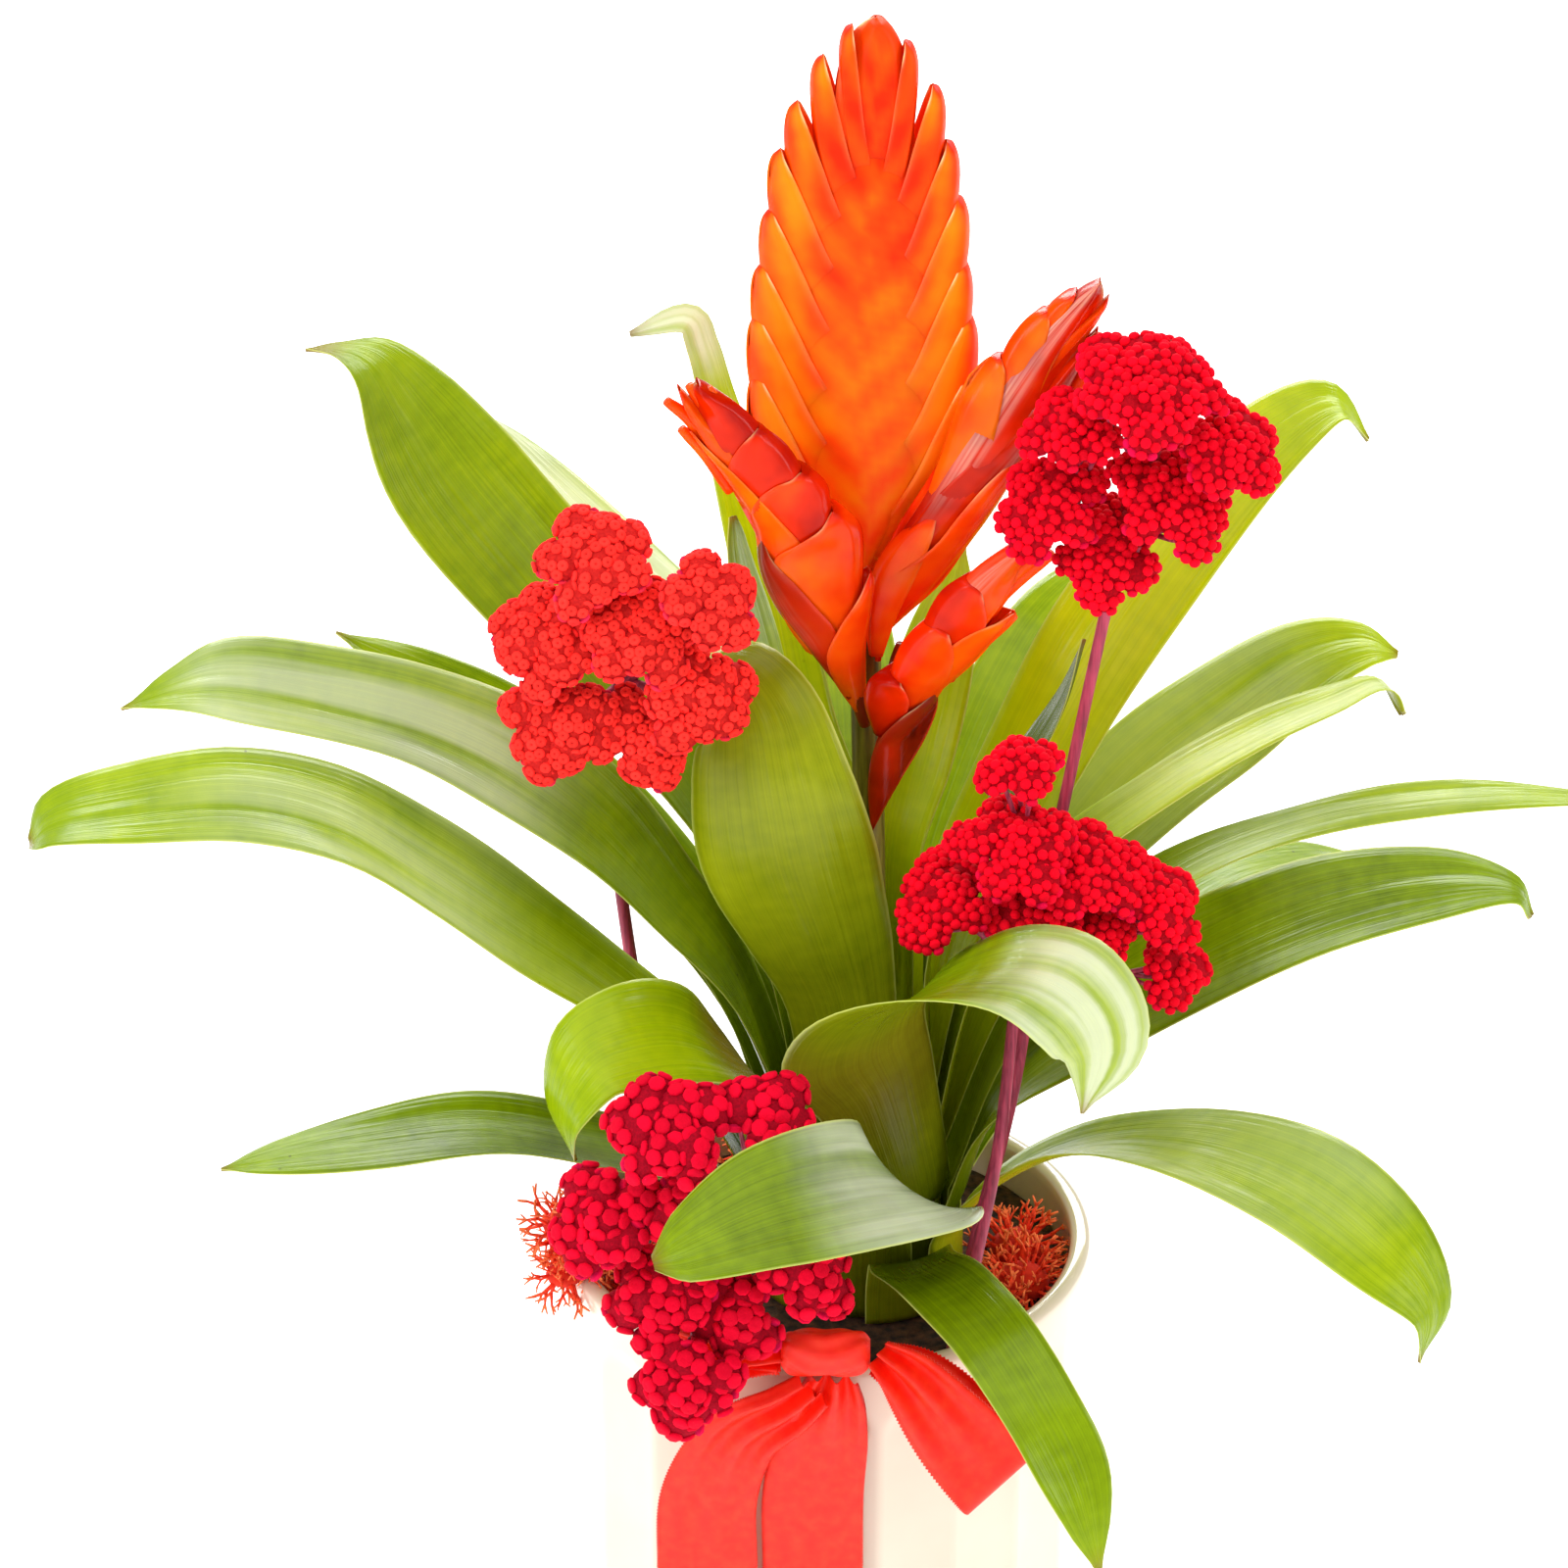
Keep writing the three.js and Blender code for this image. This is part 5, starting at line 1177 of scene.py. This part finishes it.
def dome(centre, normal, radius, draw, at_edge):
    """A small lumpy dome that florets stand on, with how far each point is towards the head's edge."""
    turn = Vector((0, 0, 1)).rotation_difference(normal)
    lumps = [(2, draw.uniform(0, 6.3), 0.08), (3, draw.uniform(0, 6.3), 0.07)]

    def place(reach, height, angle):
        swell = 1 + sum(size * math.sin(rate * angle + start) for rate, start, size in lumps)
        flat = Vector((reach * math.cos(angle), reach * math.sin(angle), 0)) * radius * swell
        return centre + turn @ (flat + Vector((0, 0, height * radius)))

    turns = [2 * math.pi * i / DOME_SIDES for i in range(DOME_SIDES)]
    rings = [[place(reach, height, angle) for angle in turns] for reach, height in DOME_PROFILE]
    points, faces = loft(rings, place(0, 0.46, 0), place(0, -0.55, 0))
    cover, border = [], []
    for reach, height in DOME_PROFILE:
        cover += [1.0 if height > -0.3 else 0.0] * DOME_SIDES
        border += [0.8 * at_edge * smooth(0.0, -0.3, height)] * DOME_SIDES
    return points, faces, cover + [1.0, 0.0], border + [0.0, at_edge]


def lobe_domes(centre, normal, radius, draw):
    """The centre, normal, radius and edge share of the small domes that cover one lobe."""
    turn = Vector((0, 0, 1)).rotation_difference(normal)
    count = max(round((radius / DOME_RADIUS) ** 2 * 1.3), 3)
    for k in range(count):
        reach = math.sqrt((k + 0.4) / count) * (radius - DOME_RADIUS * 0.5)
        angle = k * GOLDEN_ANGLE + draw.uniform(-0.25, 0.25)
        share = reach / radius
        height = 0.36 * radius * (1 - share * share) - 1.6 + draw.uniform(-0.5, 0.5)
        spot = centre + turn @ Vector((reach * math.cos(angle), reach * math.sin(angle), height))
        lean = turn @ Vector((math.cos(angle), math.sin(angle), 0)) * share * 0.55
        yield spot, (normal + lean).normalized(), DOME_RADIUS * draw.uniform(0.88, 1.14), share ** 2


def yarrow_head(name, yarrow):
    hub = Vector(yarrow["hub"])
    face = Vector(yarrow["facing"]).normalized()
    draw = random.Random(name)
    domes, twigs = [], []
    stem_top = Vector(yarrow["stem"][-1])
    neck = stem_top.lerp(hub, 0.6 / (hub - stem_top).length)
    twigs.append(tube([tuple(neck), tuple(neck.lerp(hub, 0.5)), tuple(hub)], [2.3, 2.2, 2.0], 10, 4))
    for x, y, z, radius in yarrow["lobes"]:
        centre = Vector((x, y, z))
        out = centre - hub
        out = (out - face * out.dot(face)) * 0.012
        normal = (face + out).normalized()
        fork = hub.lerp(centre - normal * radius * 0.5, 0.7)
        twigs.append(tube([tuple(hub), tuple(hub.lerp(fork, 0.5) - normal), tuple(fork)],
                          [1.7, BRANCH_RADIUS, 1.1], 8, 6))
        for spot, lean, small, at_edge in lobe_domes(centre, normal, radius, draw):
            domes.append(dome(spot, lean, small, draw, at_edge))
            under = spot - lean * small * 0.3
            twigs.append(tube([tuple(fork), tuple(fork.lerp(under, 0.5) - normal), tuple(under)],
                              [0.8, 0.6, 0.6], 6, 4))
    points, faces = joined([(p, f) for p, f, _, _ in domes])
    # The bed between the florets takes a low lit value, a painted shade in the gaps
    marks = {"cover": [v for d in domes for v in d[2]], "border": [v for d in domes for v in d[3]],
             "lit": [0.12] * len(points)}
    bed = make_mesh(f"yarrow_bed_{name}", points, faces, marks)
    pitch, node = yarrow["pitch"], f"yarrow_head_{name}"
    florets = scatter(f"yarrow_florets_{name}", bed, floret_shape(yarrow["floret"]), yarrow["finish"],
                      "cover", Pitch=pitch * MM, Size=pitch * 0.63, Size_Spread=pitch * 0.03, Seed=11)
    show(f"yarrow_florets_{name}", florets, None, "yarrow_floret", node)
    show(f"yarrow_bed_{name}", bed, yarrow["finish"], "yarrow_floret", node)
    twigs_name, stem_name = f"yarrow_twigs_{name}", f"yarrow_stem_{name}"
    show(twigs_name, make_mesh(twigs_name, *joined(twigs)), dyed_stem, "yarrow_stem", node)
    radii = [YARROW_STEM_RADIUS * share for share in (0.76, 0.7, 0.64, 0.6)]
    stem = make_mesh(f"{stem_name}_smooth", *tube(yarrow["stem"], radii, 14, 40))
    show(f"{stem_name}_smooth", stem, dyed_stem, "yarrow_stem", stem_name)


for name, yarrow in yarrows.items():
    yarrow_head(name, yarrow)


# Moss: the tufts of each clump as foot and radius, with its seed. A low core fills each tuft, and forked
# sprigs cover it
moss_clumps = {
    "right": ([(50, -12, 126.7, 9), (49, 4, 126.7, 9), (42, -27, 126.8, 8)], 7),
    "left": ([(-49, -16, 126.7, 9), (-52, -14, 135, 8), (-62, -20, 144.5, 9), (-67, -22, 151, 7),
              (-67, -24, 138, 6)], 19),
    "back": ([(-14, 46, 126.6, 10), (4, 49, 126.6, 10)], 31),
}
# The core of a tuft, as rings of reach and height, both as shares of the radius, and how wide it is
TUFT_PROFILE = [(0.5, 0.93), (0.85, 0.72), (1.0, 0.5), (0.9, 0.25), (0.6, 0.06)]
TUFT_SIDES = 12
TUFT_WIDTH = 0.8


def sprig_shape(seed):
    """A sprig that forks twice, 5 mm tall, with how near each point is to a tip."""
    draw = random.Random(seed)
    parts, tips = [], []

    def branch(root, heading, length, radius, level):
        end = root + heading * length
        points, faces = tube([tuple(root), tuple(root.lerp(end, 0.5)), tuple(end)],
                             [radius, radius * 0.8, radius * 0.6], 3, 1)
        parts.append((points, faces))
        tips.extend([level / 2] * len(points))
        if level == 2:
            return
        for side in (-1, 1):
            lean = Vector((draw.uniform(-0.4, 0.4) + side * 0.55, draw.uniform(-0.7, 0.7), 0))
            branch(end, (heading + lean).normalized(), length * 0.8, radius * 0.75, level + 1)

    branch(Vector((0, 0, -0.6)), Vector((0, 0, 1)), 2.2, 0.42, 0)
    return make_mesh("sprig", *joined(parts), {"tip": tips})


def tuft_core(x, y, z, radius):
    turns = [2 * math.pi * i / TUFT_SIDES for i in range(TUFT_SIDES)]
    wide = radius * TUFT_WIDTH
    rings = [[(x + wide * reach * math.cos(a), y + wide * reach * math.sin(a), z + radius * height)
              for a in turns] for reach, height in TUFT_PROFILE]
    return loft(rings, (x, y, z + radius), (x, y, z + 0.1))


def moss_clump(name, tufts, seed):
    points, faces = joined([tuft_core(*tuft) for tuft in tufts])
    bed = make_mesh(f"moss_core_{name}", points, faces,
                    {"cover": [1.0] * len(points), "tip": [-0.2] * len(points)})
    sprigs = scatter(f"moss_sprigs_{name}", bed, sprig_shape(seed), dyed_moss, "cover",
                     Pitch=2.4 * MM, Size=1.65, Size_Spread=0.4, Seed=seed)
    show(f"moss_sprigs_{name}", sprigs, None, "moss", f"moss_{name}")
    show(f"moss_core_{name}", bed, dyed_moss, "moss", f"moss_{name}")


for name, (tufts, seed) in moss_clumps.items():
    moss_clump(name, tufts, seed)


# Ribbon: 25 mm satin with a looped edge, each strip as its line, its visible widths, its side direction and
# how it is held
ribbons = {
    "tail_left": {
        "line": [(-4, -76.6, 140.5), (-11, -76.2, 134), (-23, -74.5, 124), (-30, -73, 106), (-30.5, -72, 84),
                 (-31, -72, 60), (-32, -73, 40)],
        "widths": [11, 15, 20, 24, 25, 25, 25], "side": (1, 0, 0), "held": "hung",
    },
    "tail_right": {
        "line": [(1, -74.4, 142.5), (0, -74.2, 135), (-2, -73, 123), (-4, -72, 106), (-4, -71, 84),
                 (-4, -71, 56), (-3, -72, 30)],
        "widths": [12, 18, 23, 25, 25, 25, 25], "side": (1, 0, 0), "held": "hung",
    },
    "loop_left": {
        "line": [(-12, -75.6, 151), (-22, -76.6, 151), (-33, -75, 152), (-41, -71, 153), (-43, -68, 153),
                 (-40, -66, 152), (-32, -67.5, 150), (-22, -71, 149), (-12, -74, 149)],
        "widths": [10, 13, 15, 16, 16, 16, 15, 13, 10], "side": (0, 0, 1), "held": "folded",
    },
    "loop_right": {
        "line": [(12, -76.4, 151), (20, -81.5, 146), (30, -88.5, 136.5), (40, -94, 127), (42.9, -92.5, 124.3),
                 (41.8, -88.5, 125.3), (32.6, -82.8, 134.1), (22.4, -77, 143.4), (12, -74.4, 148.5)],
        "widths": [9, 17, 23, 25, 25, 25, 23, 17, 9], "side": (0.69, 0, 0.72), "held": "folded",
    },
    "strap": {
        "line": [(-1, -69.6, 152), (-1, -69.4, 144), (-1, -67.4, 141.4), (-1, -64.4, 141.2), (-1, -61.8, 140),
                 (-1, -61.1, 136), (-1, -61, 128)],
        "widths": [12, 13, 14, 14, 14, 14, 14], "side": (1, 0, 0), "held": "folded",
    },
}


def ribbon_mesh(name, line, widths, side):
    """A strip whose folds take up the width that its gathers hide. Small teeth stand for its looped edge."""
    rough = frames_along(line, side, 60)
    stations = round(rough[-1][4] / (PICOT_PITCH / 2))
    points, grid = [], []
    for k, (t, centre, across, normal, length) in enumerate(frames_along(line, side, stations)):
        width = read_list(widths, t)
        spare = max(RIBBON_WIDTH / width - 1, 0)
        fold = min(math.sqrt(spare) * 2.4, 2.2) * smooth(-0.02, 0.03, spare)
        edge = 0.25 if k % 2 else -0.25
        for face in (1, -1):
            order = range(RIBBON_STRIPS + 1) if face > 0 else range(RIBBON_STRIPS, -1, -1)
            for j in order:
                u = j / RIBBON_STRIPS - 0.5
                tooth = edge * (1 if u > 0 else -1) if abs(u) == 0.5 else 0.0
                rise = fold * math.sin(u * 2 * math.pi * 2.5 + 0.6) * (1 - smooth(0.4, 0.5, abs(u)) * 0.5)
                rise += face * RIBBON_THICKNESS / 2
                points.append(centre + across * (u * width + tooth) + normal * rise)
                grid.append((0.5 + u, length / RIBBON_WIDTH))
    count = 2 * (RIBBON_STRIPS + 1)
    rings = [points[k * count:(k + 1) * count] for k in range(stations + 1)]
    flat_points, faces = loft(rings)
    return make_mesh(f"ribbon_satin_{name}", flat_points, faces, None, grid), rough[-1][4]


def knot_mesh():
    """The knot: a gathered band pulled tight round the middle of the bow."""
    profile = [(-11, 3.6, 1.9), (-10, 4.9, 2.9), (-8.5, 5.7, 3.7), (-4, 6.4, 4.4), (0, 6.1, 4.5),
               (4, 6.4, 4.4), (8.5, 5.7, 3.7), (10, 4.9, 2.9), (11, 3.6, 1.9)]
    stations, sides = 40, 48
    rings, grid = [], []
    for k in range(stations + 1):
        x, high, deep = spline(profile, k / stations)
        ring = []
        for i in range(sides):
            angle = 2 * math.pi * i / sides
            fold = 1 + 0.05 * math.sin(7 * angle + 0.05 * x * x) + 0.03 * math.sin(4 * angle + 0.3 * x)
            spot = Vector((x, deep * fold * math.cos(angle), high * fold * math.sin(angle)))
            ring.append(KNOT_CENTRE + spot)
            grid.append((abs(i / sides - 0.5) * 1.6, k / stations))
        rings.append(ring)
    points, faces = loft(rings, ring_middle(rings[0]), ring_middle(rings[-1]))
    return make_mesh("ribbon_satin_knot", points, faces, None, grid + [(0.5, 0.0), (0.5, 1.0)])


show("ribbon_satin_knot", knot_mesh(), satin, "satin_ribbon", "ribbon_knot")
for name, strip in ribbons.items():
    mesh, length = ribbon_mesh(name, strip["line"], strip["widths"], strip["side"])
    piece = show(f"ribbon_satin_{name}", mesh, satin, "satin_ribbon", f"ribbon_{name}")

# CAD nodes whose shape is right keep it and take a better finish
for node, finish in (("soil", peat), ("rosette_stem", stalk_skin)):
    for holder in bpy.data.objects[node].material_slots:
        holder.material = finish
